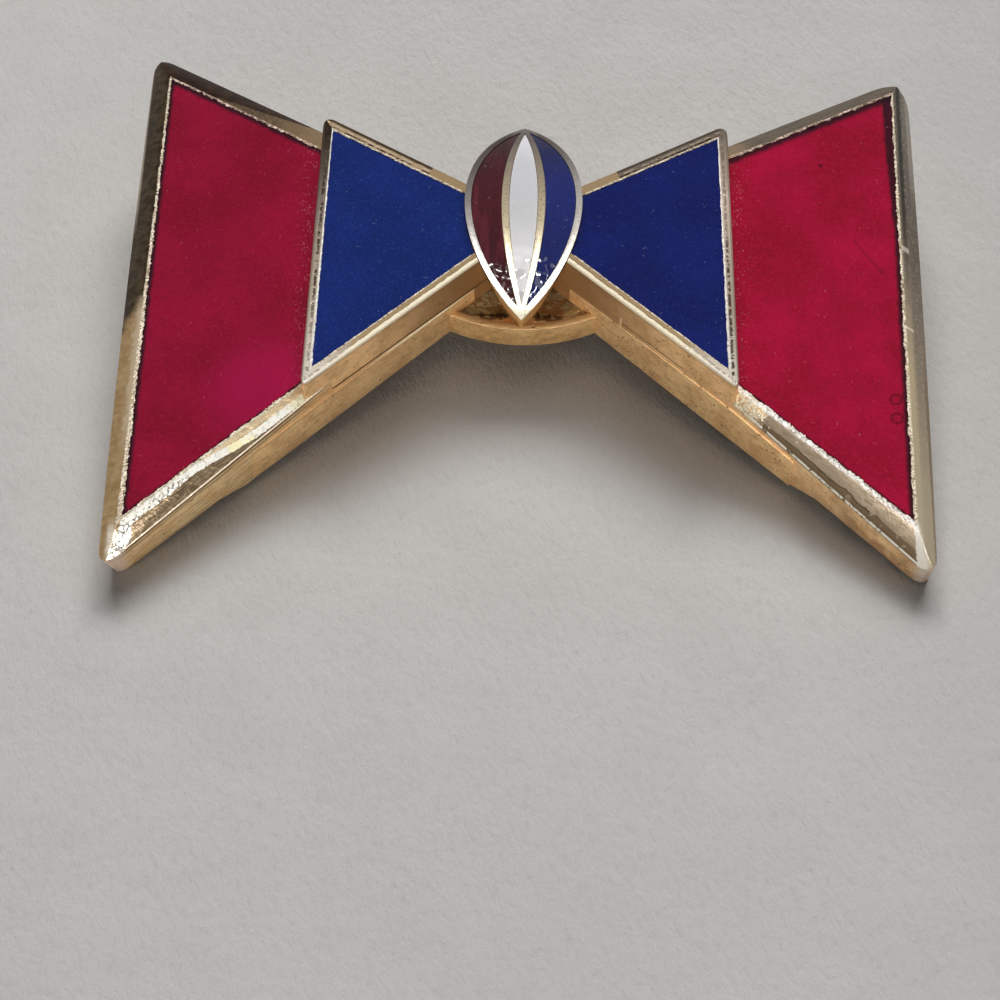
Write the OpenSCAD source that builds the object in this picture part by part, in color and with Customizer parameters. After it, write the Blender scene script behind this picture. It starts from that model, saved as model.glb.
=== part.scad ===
// Bow brooch: a cast metal bow with enamel fields, a striped oval knot and a pin across its back.
// It is drawn face up, then laid on its lower points and its pin, the way it rests by itself.

/* [Bow wings] */
// Half of the width over the outer edges at the lower points
half_width_low = 25.2; // [22:0.1:28]
// Half of the width over the outer edges at the upper corners
half_width_top = 25; // [22:0.1:28]
// Height of the upper corners above the middle of the knot
corner_rise = 13; // [11:0.1:15]
// Depth of the sharp lower points below the middle of the knot
point_drop = 25.4; // [22:0.1:28]
// Height of the upper edge above the knot's middle where it leaves the raised block
neck_rise = 6.89; // [6:0.01:8]
// Depth of the lower edge below the knot's middle where it leaves the raised block
neck_drop = 13.42; // [12:0.02:15]
// Radius of the upper corners
corner_r = 0.9; // [0.5:0.05:1.3]
// Radius of the lower points
point_r = 0.75; // [0.5:0.05:1]
// How much taller the left wing was cast than the middle size, as a share
wing_skew = 0.016; // [0:0.001:0.03]
// How far the wings lean to the right, per millimetre up
wing_sway = 0.008; // [0:0.001:0.02]
// How far the outer edges bulge
side_bulge = 0.18; // [0.05:0.01:0.4]
// How much wider the right wing's outer bevel was cast
right_more = 0.2; // [0:0.01:0.4]
// How much lower the right wing's upper edge was cast
right_low = 0.45; // [0:0.01:0.8]

/* [Heights above the back] */
// Top of the skirt that runs under the blocks
skirt_h = 2.9; // [2.5:0.05:3.2]
// Outer crease of the bevel
crease_h = 3.5; // [3.3:0.05:3.8]
// Top of the frame round the red enamel
frame_h = 4.1; // [3.9:0.05:4.4]
// Top of the frame round the blue enamel
block_h = 5.8; // [5.2:0.05:6.2]
// Top of the hub between the wings
hub_h = 1.9; // [1.5:0.02:2.3]
// How far the back is stepped up under the outer ends of the wings
back_step = 0.8; // [0.3:0.05:1.2]

/* [Red fields] */
// Width of the bevel along the outer edge
bevel_side = 1.35; // [1:0.05:2]
// Width of the bevel along the upper edge, measured up the bow
bevel_top = 2.1; // [1.5:0.05:2.6]
// Width of the bevel along the lower edge by the block, measured up the bow
bevel_low = 1.45; // [1.2:0.05:2]
// Height from the sharp lower point to the corner of the enamel
bevel_point = 3.9; // [3.2:0.05:4.6]
// Depth of the tray that holds the enamel
tray_depth = 0.6; // [0.4:0.05:0.9]

/* [Raised blocks] */
// Distance of a block's outer side from the middle
block_x = 13.25; // [12:0.05:14]
// Distance of a block's inner end from the middle
block_in_x = 3.05; // [2.8:0.05:3.4]
// Height of a block's outer upper corner above the knot's middle
block_rise = 6.8; // [6:0.05:7.1]
// Depth of a block's outer lower corner below the knot's middle
block_drop = 13.45; // [12.5:0.05:14]
// Height of a block's inner end above the knot's middle
block_in_rise = 1.27; // [0.8:0.01:1.8]
// Depth of a block's inner end below the knot's middle
block_in_drop = 4.45; // [4:0.05:5]
// Radius of a block's outer upper corner
block_top_r = 0.8; // [0.4:0.05:1.2]
// Radius of a block's outer lower corner
block_low_r = 0.3; // [0.2:0.05:0.6]
// Width of the frame along a block's outer side
block_rim = 0.6; // [0.4:0.05:0.9]
// Width of the frame along a block's sloping edges, measured up the bow
block_rim_y = 0.8; // [0.5:0.05:1.1]
// How far the skirt stands out under a block's outer lower corner
skirt_out = 0.36; // [0.15:0.01:0.6]

/* [Hub] */
// Radius of the hub's curved front wall
hub_r = 11.5; // [10:0.1:13]
// Depth of the hub's front below the knot's middle
hub_drop = 6.94; // [6.8:0.02:7.6]
// Width of the rim left in front of the hollow
hub_rim = 0.54; // [0.3:0.02:0.8]
// Depth of the hollow behind the rim
hub_hollow = 0.6; // [0.3:0.05:0.9]

/* [Knot] */
// Half of the knot's length
knot_half_l = 7.45; // [6.8:0.05:8]
// Half of the knot's width
knot_half_w = 3.75; // [3.5:0.05:4]
// Height of the knot's crown above the back
knot_h = 6.4; // [5.9:0.05:6.6]
// How far the knot's ends lie below its crown
knot_arch = 2.5; // [1.8:0.05:3]
// How much the knot's side leans in, per millimetre down
knot_lean = 0.25; // [0.1:0.01:0.3]
// Width of the knot's rim
knot_rim = 0.4; // [0.25:0.01:0.6]
// Half of the white stripe's width at the middle
white_half_w = 0.93; // [0.7:0.01:1.2]
// Width of a divider at the middle
divider_w = 0.46; // [0.3:0.01:0.7]
// Distance from the knot's point to the point of the white stripe
white_short = 0.75; // [0.5:0.05:1.2]
// Depth of the knot's enamel cells
cell_depth = 0.5; // [0.3:0.05:0.8]

/* [Pin] */
// Radius of the pin's stem
stem_r = 0.42; // [0.35:0.01:0.5]
// Distance of the stem's axis behind the casting
stem_back = 2.4; // [2.1:0.05:3]
// Radius of the barrel at each end of the pin
barrel_r = 1.1; // [0.9:0.05:1.3]
// Length of a barrel
barrel_l = 1.8; // [1.4:0.1:2.4]
// Distance of each barrel from the middle
barrel_x = 12.5; // [10:0.1:14]
// Straight free end of the stem past the catch
free_l = 2.6; // [2:0.1:3.5]
// Length of the stem's sharp point
sharp_l = 1.6; // [1:0.1:2.5]
// Thickness of the bar that carries the pin
bar_t = 0.6; // [0.4:0.05:0.9]
// Width of that bar
bar_w = 2.4; // [2.2:0.1:3]
// Height of the pin above the knot's middle
pin_rise = 1.5; // [0.5:0.1:2]

/* [Clearances] */
// Gap between an enamel and its tray, and between the pin's bar and the back
seat_gap = 0.03; // [0.02:0.01:0.06]
// Gap between the knot and the well it stands in
well_gap = 0.06; // [0.03:0.01:0.1]
// How far the enamel lies below its frame
enamel_low = 0.05; // [0.02:0.01:0.1]

/* [Hidden] */
$fn = 96;
LEFT = -1;
RIGHT = 1;
arc_steps = 8;
bulge_steps = 8;
slab = 0.01;
hub_lap = 2;
over = 1;
tall = 20;

// Colours
GOLD = [0.83, 0.66, 0.38];
SILVER = [0.78, 0.76, 0.72];
RED = [0.62, 0.05, 0.16];
BLUE = [0.11, 0.15, 0.40];
MAROON = [0.35, 0.05, 0.14];
WHITE = [0.86, 0.87, 0.88];
STEEL = [0.72, 0.72, 0.72];

// Plan of one wing, for the right side. Its edges run on under the block.
root_x = block_x - 3;
top_slope = (corner_rise - neck_rise) / (half_width_top - block_x);
low_slope = (point_drop - neck_drop) / (half_width_low - block_x);
wing_corner = [half_width_top, corner_rise];
wing_point = [half_width_low, -point_drop];
wing_root_top = [root_x, neck_rise - top_slope * (block_x - root_x)];
wing_root_low = [root_x, -neck_drop + low_slope * (block_x - root_x)];

// Plan of the red enamel, from the bevel's widths
red_x = half_width_top - bevel_side + 0.15;
red_corner = [red_x, corner_rise - bevel_top - top_slope * (half_width_top - red_x)];
red_point = [red_x, -point_drop + bevel_point];
red_slope = (red_point[1] + neck_drop - bevel_low) / (red_x - block_x);
red_root_top = [root_x, red_corner[1] - top_slope * (red_x - root_x)];
red_root_low = [root_x, -neck_drop + bevel_low - red_slope * (block_x - root_x)];

// Plan of one block and of the skirt under it
block_top_slope = (block_rise - block_in_rise) / (block_x - block_in_x);
block_low_slope = (block_drop - block_in_drop) / (block_x - block_in_x);
block_plan = [
    [block_in_x, block_in_rise],
    [block_x, block_rise],
    [block_x, -block_drop],
    [block_in_x, -block_in_drop]
];
blue_x = block_x - block_rim;
blue_plan = [
    [block_in_x - over, block_in_rise - block_rim_y - over * block_top_slope],
    [blue_x, block_rise - block_rim_y - block_rim * block_top_slope],
    [blue_x, -block_drop + block_rim_y + block_rim * block_low_slope],
    [block_in_x - over, -block_in_drop + block_rim_y + over * block_low_slope]
];
skirt_end_x = block_x + 3.75;
step_run = 1.5;
skirt_plan = [
    [block_in_x, block_in_rise],
    [block_x, block_rise],
    [skirt_end_x, block_rise],
    [skirt_end_x, -block_drop - low_slope * (skirt_end_x - block_x)],
    [block_x, -block_drop - skirt_out],
    [block_in_x, -block_in_drop]
];

// Knot: two leaning arcs in plan, cut by a lying cylinder that makes the arch
knot_end_w = knot_half_w - knot_lean * knot_arch;
knot_c = (pow(knot_half_l, 2) - pow(knot_end_w, 2)) / (2 * knot_end_w);
arch_r = (pow(knot_half_l, 2) + pow(knot_arch, 2)) / (2 * knot_arch);
hollow_floor = hub_h - hub_hollow;
white_half_l = knot_half_l - white_short;
divider_half_w = white_half_w + divider_w;

// The lean of the whole brooch, from its lower points to the pin's barrels
point_half = atan2(half_width_low - block_x, point_drop - neck_drop) / 2;
point_low = -point_drop + point_r * (cos(point_half) / sin(point_half) - 1);
corner_half = atan2(half_width_top - block_x, corner_rise - neck_rise) / 2;
corner_high = corner_rise - corner_r * (cos(corner_half) / sin(corner_half) - 1);
rest_dy = pin_rise - point_low;
rest_dz = back_step + stem_back;
rest_d = sqrt(pow(rest_dy, 2) + pow(rest_dz, 2));
lean = atan2(rest_dz, rest_dy) + asin(barrel_r / rest_d);
roll = atan(wing_skew * -point_low * sin(lean) / half_width_low);
barrel_drop = barrel_x * sin(roll);
rest_z = point_low * sin(lean) + back_step * cos(lean) - barrel_drop;
rest_front = (1 + wing_skew) * point_low * cos(lean) - crease_h * sin(lean);
rest_rear = (1 + wing_skew) * corner_high * cos(lean) - back_step * sin(lean);

// Lays the brooch down, with its lowest points at zero and its box centred
module lie() {
    translate([0, -(rest_front + rest_rear) / 2, -rest_z])
        rotate([0, -roll, 0])
        rotate([lean, 0, 0])
        children();
}

function on_side(side, p) = [side * p[0], p[1] * (1 - side * wing_skew)];
function plan_on(side, points) = [for (p = points) on_side(side, p)];
function sway(p) = [(p[1] + point_drop) * wing_sway, 0];
function wing_on(side, points) = [for (p = points) on_side(side, p) + sway(p)];
function unit(v) = v / norm(v);

// The round that replaces corner b between its neighbours a and c
function corner_arc(a, b, c, r) =
    let (
        u = unit(a - b),
        v = unit(c - b),
        half = acos(u * v) / 2,
        mid = b + unit(u + v) * r / sin(half),
        from = atan2((b + u * r / tan(half) - mid)[1], (b + u * r / tan(half) - mid)[0]),
        to = atan2((b + v * r / tan(half) - mid)[1], (b + v * r / tan(half) - mid)[0]),
        turn = to - from > 180 ? to - from - 360 : to - from < -180 ? to - from + 360 : to - from
    )
    [for (i = [0 : arc_steps]) mid + r * [cos(from + turn * i / arc_steps), sin(from + turn * i / arc_steps)]];

// A shallow arc between two points on the outer edge, without its ends
function bulge(a, b) = [
    for (i = [1 : bulge_steps - 1])
        let (t = i / bulge_steps)
        a + (b - a) * t + [4 * side_bulge * t * (1 - t), 0]
];

// Outline of a wing; more widens its outer bevel and low lowers its upper edge
function wing_plan(more, low) =
    let (
        root = wing_root_top - [0, low],
        corner = wing_corner + [more, -low],
        point = wing_point + [more, 0],
        upper = corner_arc(root, corner, point, corner_r),
        lower = corner_arc(corner, point, wing_root_low, point_r)
    )
    concat([root], upper, bulge(upper[arc_steps], lower[0]), lower, [wing_root_low]);

block_round = concat(
    [block_plan[0]],
    corner_arc(block_plan[0], block_plan[1], block_plan[2], block_top_r),
    corner_arc(block_plan[1], block_plan[2], block_plan[3], block_low_r),
    [block_plan[3]]
);

module wing_body(side) {
    hull() {
        linear_extrude(crease_h)
            polygon(wing_on(side, side > 0 ? wing_plan(right_more, right_low) : wing_plan(0, 0)));
        translate([0, 0, frame_h - slab])
            linear_extrude(slab)
            polygon(wing_on(side, [red_root_top, red_corner, red_point, red_root_low]));
    }
}

// The prism of the red field, drawn in by a gap
module red_prism(side, gap) {
    translate([0, 0, frame_h - tray_depth + gap])
        linear_extrude(tray_depth + over)
        offset(delta = -gap)
        polygon(concat(
            wing_on(side, [red_corner, red_point]),
            plan_on(side, [
                [block_x, -neck_drop + bevel_low],
                [block_x, red_corner[1] - top_slope * (red_x - block_x)]
            ])
        ));
}

module blue_prism(side, gap) {
    translate([0, 0, block_h - tray_depth + gap])
        linear_extrude(tray_depth + over)
        offset(delta = -gap)
        polygon(plan_on(side, blue_plan));
}

// A pointed oval between two leaning arcs, grown by out, from z0 to z1
module knot_prism(out, z0, z1) {
    intersection_for(side = [LEFT, RIGHT])
        translate([side * knot_c, 0, z0])
        cylinder(
            h = z1 - z0,
            r1 = knot_c + knot_half_w + out - knot_lean * (knot_h - z0),
            r2 = knot_c + knot_half_w + out - knot_lean * (knot_h - z1)
        );
}

// A pointed oval with upright walls, grown by out
module stripe_prism(half_w, half_l, out) {
    r = (pow(half_l, 2) + pow(half_w, 2)) / (2 * half_w);
    intersection_for(side = [LEFT, RIGHT])
        translate([side * (r - half_w), 0, 0])
        cylinder(h = tall, r = r + out, $fn = 400);
}

// Everything under the knot's arch, lowered by down
module under_arch(down) {
    translate([-tall / 2, 0, knot_h - arch_r])
        rotate([0, 90, 0])
        cylinder(h = tall, r = arch_r - down, $fn = 192);
}

module hub() {
    intersection() {
        translate([0, hub_r - hub_drop, 0])
            cylinder(h = hub_h, r = hub_r);
        translate([-block_in_x - hub_lap, -hub_drop, 0])
            cube([2 * (block_in_x + hub_lap), hub_drop + block_in_rise, hub_h]);
    }
    knot_prism(hub_rim, 0, hub_h);
}

module hub_hollow_cut() {
    intersection() {
        translate([0, hub_r - hub_drop, hollow_floor])
            cylinder(h = tall, r = hub_r - hub_rim);
        translate([-block_in_x, -hub_drop, hollow_floor])
            cube([2 * block_in_x, hub_drop, tall]);
    }
}

// The back stepped up under the outer end of a wing
module back_step_cut(side) {
    rotate([90, 0, 0])
        translate([0, 0, -2 * tall])
        linear_extrude(4 * tall)
        polygon([
            [side * skirt_end_x, -over],
            [side * skirt_end_x, 0],
            [side * (skirt_end_x + step_run), back_step],
            [side * 2 * half_width_low, back_step],
            [side * 2 * half_width_low, -over]
        ]);
}

module bow_casting() {
    color(GOLD)
    lie()
    difference() {
        union() {
            hub();
            for (side = [LEFT, RIGHT]) {
                wing_body(side);
                linear_extrude(skirt_h)
                    polygon(plan_on(side, skirt_plan));
                linear_extrude(block_h)
                    polygon(plan_on(side, block_round));
            }
        }
        hub_hollow_cut();
        knot_prism(well_gap, hollow_floor, knot_h + over);
        for (side = [LEFT, RIGHT]) {
            red_prism(side, 0);
            blue_prism(side, 0);
            back_step_cut(side);
        }
    }
}

module red_enamel(side) {
    color(RED)
    lie()
    intersection() {
        red_prism(side, seat_gap);
        translate([-tall * 2, -tall * 2, 0])
            cube([tall * 4, tall * 4, frame_h - enamel_low]);
    }
}

module blue_enamel(side) {
    color(BLUE)
    lie()
    difference() {
        blue_prism(side, seat_gap);
        knot_prism(well_gap + seat_gap, 0, knot_h + over);
        translate([-tall * 2, -tall * 2, block_h - enamel_low])
            cube([tall * 4, tall * 4, tall]);
    }
}

module knot_setting() {
    color(SILVER)
    lie()
    difference() {
        intersection() {
            knot_prism(0, hollow_floor + seat_gap, knot_h + over);
            under_arch(0);
        }
        difference() {
            stripe_cells(0);
            under_arch(cell_depth);
        }
    }
}

// The three cells of the knot, drawn in by a gap
module stripe_cells(gap) {
    stripe_prism(white_half_w, white_half_l, -gap);
    for (side = [LEFT, RIGHT])
        side_cell(side, gap);
}

module side_cell(side, gap) {
    difference() {
        intersection() {
            knot_prism(-knot_rim - gap, knot_h - knot_arch - 2 * over, knot_h + over);
            translate([side > 0 ? 0 : -tall, -tall / 2, 0])
                cube([tall, tall, tall]);
        }
        stripe_prism(divider_half_w, knot_half_l, gap);
    }
}

// Keeps the layer of enamel between the cell's floor and the arch
module enamel_layer() {
    difference() {
        intersection() {
            children();
            under_arch(enamel_low);
        }
        under_arch(cell_depth - seat_gap);
    }
}

module knot_enamel_maroon() {
    color(MAROON)
    lie()
    enamel_layer()
    side_cell(LEFT, seat_gap);
}

module knot_enamel_white() {
    color(WHITE)
    lie()
    enamel_layer()
    stripe_prism(white_half_w, white_half_l, -seat_gap);
}

module knot_enamel_blue() {
    color(BLUE)
    lie()
    enamel_layer()
    side_cell(RIGHT, seat_gap);
}

// One plain piece: a bar on the back, a barrel at each end and the stem between them
module pin_back() {
    color(STEEL)
    lie()
    translate([0, pin_rise, -seat_gap])
    union() {
        translate([-barrel_x - barrel_l / 2, -bar_w / 2, -bar_t])
            cube([2 * barrel_x + barrel_l, bar_w, bar_t]);
        for (side = [LEFT, RIGHT])
            translate([side * barrel_x - barrel_l / 2, 0, 0]) {
                translate([0, 0, seat_gap - stem_back])
                    rotate([0, 90, 0])
                    cylinder(h = barrel_l, r = barrel_r);
                translate([0, -barrel_r * 0.7, seat_gap - stem_back])
                    cube([barrel_l, barrel_r * 1.4, stem_back - seat_gap - bar_t / 2]);
            }
        translate([-barrel_x, 0, seat_gap - stem_back])
            rotate([0, 90, 0])
            cylinder(h = 2 * barrel_x + barrel_l / 2 + free_l, r = stem_r);
        translate([barrel_x + barrel_l / 2 + free_l, 0, seat_gap - stem_back])
            rotate([0, 90, 0])
            cylinder(h = sharp_l, r1 = stem_r, r2 = stem_r / 6);
    }
}

bow_casting();
red_enamel(LEFT);  // red_enamel_left
red_enamel(RIGHT);  // red_enamel_right
blue_enamel(LEFT);  // blue_enamel_left
blue_enamel(RIGHT);  // blue_enamel_right
knot_setting();
knot_enamel_maroon();
knot_enamel_white();
knot_enamel_blue();
pin_back();
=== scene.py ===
# %% [markdown]
# A bow brooch, cast in gold-tone metal and filled with enamel.
# The imported CAD model is loaded first, because every piece made here has to fit it.

# %% Load the frame
import math
import bpy
import bmesh
from mathutils import Matrix, Vector


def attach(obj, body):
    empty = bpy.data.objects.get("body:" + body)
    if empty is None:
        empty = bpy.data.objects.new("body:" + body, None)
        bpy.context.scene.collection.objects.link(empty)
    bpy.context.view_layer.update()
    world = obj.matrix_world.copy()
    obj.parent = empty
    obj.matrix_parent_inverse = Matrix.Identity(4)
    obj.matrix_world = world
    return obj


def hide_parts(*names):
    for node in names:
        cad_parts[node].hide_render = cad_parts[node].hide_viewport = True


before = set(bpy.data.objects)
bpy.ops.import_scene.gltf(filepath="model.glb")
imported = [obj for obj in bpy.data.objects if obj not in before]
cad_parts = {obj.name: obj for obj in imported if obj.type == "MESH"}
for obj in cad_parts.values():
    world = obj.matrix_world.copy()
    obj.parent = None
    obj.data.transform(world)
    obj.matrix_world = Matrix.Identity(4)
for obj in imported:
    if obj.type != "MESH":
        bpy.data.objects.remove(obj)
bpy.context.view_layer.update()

# %% [markdown]
# The brooch is easiest to model face up, in millimetres, with the middle of the knot at zero,
# as a jeweller would hold it. It rests on its lower points and its pin, so it leans.
# The sizes below are the ones the CAD source uses, and the lean is worked out as it is there.
# One matrix, lay, takes a finished piece from the bench to the surface it lies on.
# The left side counts as -1 and the right side as 1, so most functions serve both.

# %% Sizes of the bow, in millimetres
LEFT, RIGHT = -1, 1
hand = {LEFT: "left", RIGHT: "right"}
wing_skew = 0.016
wing_sway = 0.008
half_width_low = 25.2
half_width_top = 25.0
corner_rise = 13.0
point_drop = 25.4
neck_rise = 6.89
neck_drop = 13.42
crease_h, frame_h, block_h, hub_h, skirt_h = 3.5, 4.1, 5.8, 1.9, 2.9
back_step = 0.8
block_x, block_in_x = 13.25, 3.05
block_rise, block_drop = 6.8, 13.45
block_in_rise, block_in_drop = 1.27, 4.45
knot_half_l, knot_half_w, knot_h, knot_arch, knot_lean = 7.45, 3.75, 6.4, 2.5, 0.25
point_r, corner_r = 0.75, 0.9
barrel_r, barrel_x, stem_back, pin_rise = 1.1, 12.5, 2.4, 1.5

# %% The lean of the brooch at rest
point_half = math.atan2(half_width_low - block_x, point_drop - neck_drop) / 2
point_low = -point_drop + point_r * (1 / math.tan(point_half) - 1)
corner_half = math.atan2(half_width_top - block_x, corner_rise - neck_rise) / 2
corner_high = corner_rise - corner_r * (1 / math.tan(corner_half) - 1)
rest_dy, rest_dz = pin_rise - point_low, back_step + stem_back
lean = math.atan2(rest_dz, rest_dy) + math.asin(barrel_r / math.hypot(rest_dy, rest_dz))
roll = math.atan(wing_skew * -point_low * math.sin(lean) / half_width_low)
rest_z = point_low * math.sin(lean) + back_step * math.cos(lean) - barrel_x * math.sin(roll)
rest_front = (1 + wing_skew) * point_low * math.cos(lean) - crease_h * math.sin(lean)
rest_rear = (1 + wing_skew) * corner_high * math.cos(lean) - back_step * math.sin(lean)
bench_place = Vector((0, -(rest_front + rest_rear) / 2, -rest_z)) / 1000
turn = Matrix.Rotation(-roll, 4, "Y") @ Matrix.Rotation(lean, 4, "X")
lay = Matrix.Translation(bench_place) @ turn @ Matrix.Scale(0.001, 4)
print("lean", round(math.degrees(lean), 2), "roll", round(math.degrees(roll), 3))

# %% [markdown]
# The camera stands where the photograph was taken from: close, in front and high.
# Its place was measured against the flat of the bow, so it is given on the bench
# and goes through the same turn as the brooch.

# %% Camera
def photo_camera():
    """The photograph's camera: a long lens, seen from the front and above the bow's face."""
    azimuth, rise, tilt = math.radians(1.32), math.radians(61.97), math.radians(-0.09)
    side, up, away = -1.387, -13.186, 158.8
    aim = Vector((0, -5.5, frame_h))
    film, focal_share = 36, 2.5
    back = Vector((math.sin(azimuth) * math.cos(rise), -math.cos(azimuth) * math.cos(rise), math.sin(rise)))
    right = Vector((math.cos(azimuth), math.sin(azimuth), 0))
    top = back.cross(right)
    right, top = (right * math.cos(tilt) + top * math.sin(tilt),
                  top * math.cos(tilt) - right * math.sin(tilt))
    place = right * side + top * up + back * away + aim
    to_world = lay.to_3x3() * 1000
    axes = Matrix([to_world @ right, to_world @ top, to_world @ back]).transposed().to_4x4()
    lens = bpy.data.cameras.new("photo_camera")
    lens.sensor_width = film
    lens.lens = film * focal_share
    lens.clip_start = 0.01
    camera = bpy.data.objects.new("photo_camera", lens)
    camera.matrix_world = Matrix.Translation(lay @ place) @ axes
    bpy.context.collection.objects.link(camera)
    return camera

camera = photo_camera()
bpy.context.scene.camera = camera
print("camera at", [round(v, 4) for v in camera.matrix_world.translation])

# %% [markdown]
# Modelling by hand means picking points, edges or faces and then using one tool on them.
# These few helpers do the picking: by place and by normal, in the piece that is being edited.
# Everything else is deselected first, because a tool acts on all that is selected.

# %% Picking and moving
def only(piece):
    """Selects one piece and nothing else."""
    if bpy.context.object and bpy.context.object.mode != "OBJECT":
        bpy.ops.object.mode_set(mode="OBJECT")
    bpy.ops.object.select_all(action="DESELECT")
    bpy.context.view_layer.objects.active = piece
    piece.select_set(True)

def edit(piece, kind="VERT"):
    """Opens a piece for editing, with nothing selected."""
    only(piece)
    bpy.ops.object.mode_set(mode="EDIT")
    bpy.ops.mesh.select_mode(type=kind)
    bpy.ops.mesh.select_all(action="DESELECT")

def pick(kind, test):
    """Selects the points, edges or faces whose middle and normal pass the test."""
    bpy.ops.mesh.select_mode(type=kind)
    bpy.ops.mesh.select_all(action="DESELECT")
    mesh = bmesh.from_edit_mesh(bpy.context.object.data)
    mesh.normal_update()
    for part in {"VERT": mesh.verts, "EDGE": mesh.edges, "FACE": mesh.faces}[kind]:
        if kind == "VERT":
            middle, normal = part.co, part.normal
        elif kind == "EDGE":
            middle = (part.verts[0].co + part.verts[1].co) / 2
            normal = (part.verts[1].co - part.verts[0].co).normalized()
        else:
            middle, normal = part.calc_center_median(), part.normal
        if test(middle, normal):
            part.select_set(True)
    mesh.select_flush_mode()
    bmesh.update_edit_mesh(bpy.context.object.data)

def move_point(near, to):
    """Moves the point nearest to one place to another."""
    mesh = bmesh.from_edit_mesh(bpy.context.object.data)
    point = min(mesh.verts, key=lambda v: (v.co - Vector(near)).length)
    place = point.co.copy()
    pick("VERT", lambda middle, normal: (middle - place).length < 1e-6)
    bpy.ops.transform.translate(value=Vector(to) - place)

def extrude_up(height):
    """Picks the whole plate and extrudes it straight up."""
    pick("FACE", lambda middle, normal: True)
    bpy.ops.mesh.extrude_region_move(TRANSFORM_OT_translate={"value": (0, 0, height)})

def slice_off(place, way):
    """Cuts off what lies beyond a plane and closes the cut."""
    bpy.ops.mesh.select_all(action="SELECT")
    bpy.ops.mesh.bisect(plane_co=place, plane_no=way, clear_outer=True, use_fill=True)

def close_up():
    """Turns all faces outwards and goes back to whole objects."""
    bpy.ops.mesh.select_all(action="SELECT")
    bpy.ops.mesh.normals_make_consistent(inside=False)
    bpy.ops.object.mode_set(mode="OBJECT")

# %% [markdown]
# Most of this brooch is flat plates with an outline: the wings, the blocks and the enamel.
# A plate starts as a filled circle with as many points as the outline has corners,
# and each point is then moved to its corner, well above the rest, so that no two points are
# mixed up; at the end the whole plate comes down. Corners are rounded with a vertex bevel.

# %% Plates
def plate(name, outline, height=0.0):
    """A flat plate with the given corners, counter-clockwise seen from above."""
    bpy.ops.object.select_all(action="DESELECT")
    bpy.ops.mesh.primitive_circle_add(vertices=len(outline), radius=1, fill_type="NGON",
                                      location=(0, 0, 0))
    piece = bpy.context.object
    piece.name = piece.data.name = name
    edit(piece)
    mesh = bmesh.from_edit_mesh(piece.data)
    places = [v.co.copy() for v in mesh.verts]
    mesh.faces.ensure_lookup_table()
    order = [v.index for v in mesh.faces[0].verts]
    if mesh.faces[0].normal.z < 0:
        order = order[::-1]
    aside = 100
    for start, corner in zip([places[i] for i in order], outline):
        move_point(start, (corner[0], corner[1], height + aside))
    bpy.ops.mesh.select_all(action="SELECT")
    bpy.ops.transform.translate(value=(0, 0, -aside))
    bpy.ops.mesh.normals_make_consistent(inside=False)
    mesh = bmesh.from_edit_mesh(piece.data)
    mesh.faces.ensure_lookup_table()
    if mesh.faces[0].normal.z < 0:
        bpy.ops.mesh.flip_normals()
    return piece

def round_corner(corner, radius, half_angle):
    """Rounds one corner of a plate."""
    place = Vector(corner)
    pick("VERT", lambda middle, normal: (middle - place).length < 1e-4)
    bpy.ops.mesh.bevel(offset=radius / math.tan(half_angle), segments=6, affect="VERTICES")

def extrude_in_order(piece, height):
    """Extrudes a plate and puts its parts in an order that is the same in each run. The
    wings need it: the order decides how their large faces are split, and that shows."""
    extrude_up(height)
    bpy.ops.mesh.select_all(action="SELECT")
    bpy.ops.mesh.sort_elements(type="CURSOR_DISTANCE", elements={"VERT", "EDGE", "FACE"})
    bpy.ops.object.mode_set(mode="OBJECT")
    for edge in piece.data.edges:
        edge.vertices = sorted(edge.vertices)
    bpy.ops.object.mode_set(mode="EDIT")

def slab(name, outline, low, thick):
    """A plate extruded to a thickness, for a tray to be cut or for what fills it."""
    piece = plate(name, outline, low)
    extrude_up(thick)
    close_up()
    return piece

def apply(piece, kind, **settings):
    """Adds a modifier, sets it and applies it."""
    only(piece)
    modifier = piece.modifiers.new(kind.title(), kind)
    for name, value in settings.items():
        setattr(modifier, name, value)
    bpy.ops.object.modifier_apply(modifier=modifier.name)

def settle(piece):
    """Writes the place and turn of a piece into its points."""
    only(piece)
    bpy.ops.object.transform_apply(location=True, rotation=True, scale=True)

def soften(piece, width, sharp):
    """Takes the sharpness off the edges that turn by more than sharp degrees."""
    apply(piece, "BEVEL", width=width, segments=2, limit_method="ANGLE", angle_limit=math.radians(sharp))

def put_down(piece, nodes):
    """Takes a finished piece from the bench to its place and ties it to the frame."""
    only(piece)
    bpy.ops.object.shade_smooth_by_angle(angle=math.radians(30))
    piece.matrix_world = lay @ piece.matrix_world
    settle(piece)
    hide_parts(*nodes)
    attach(piece, "root")
    print(piece.name, len(piece.data.polygons), "faces")

# %% [markdown]
# The knot is a pointed oval, and its top is arched lengthwise. Two leaning cones that
# overlap make the oval, and a lying cylinder cuts the arch. The same solid, a little larger,
# cuts the well that the knot stands in out of the blocks and their enamel.

# %% The knot's solid
knot_end_w = knot_half_w - knot_lean * knot_arch
knot_c = (knot_half_l ** 2 - knot_end_w ** 2) / (2 * knot_end_w)
arch_r = (knot_half_l ** 2 + knot_arch ** 2) / (2 * knot_arch)
cone_steps, arch_steps, stripe_steps = 320, 360, 720
through = 20

def cut(piece, tool, how="DIFFERENCE"):
    """Cuts a piece with another solid, which is then thrown away."""
    apply(piece, "BOOLEAN", object=tool, operation=how, solver="EXACT")
    bpy.data.objects.remove(tool)

def overlap(name, piece, other):
    """What two solids have in common."""
    piece.name = piece.data.name = name
    cut(piece, other, "INTERSECT")
    settle(piece)
    return piece

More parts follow.
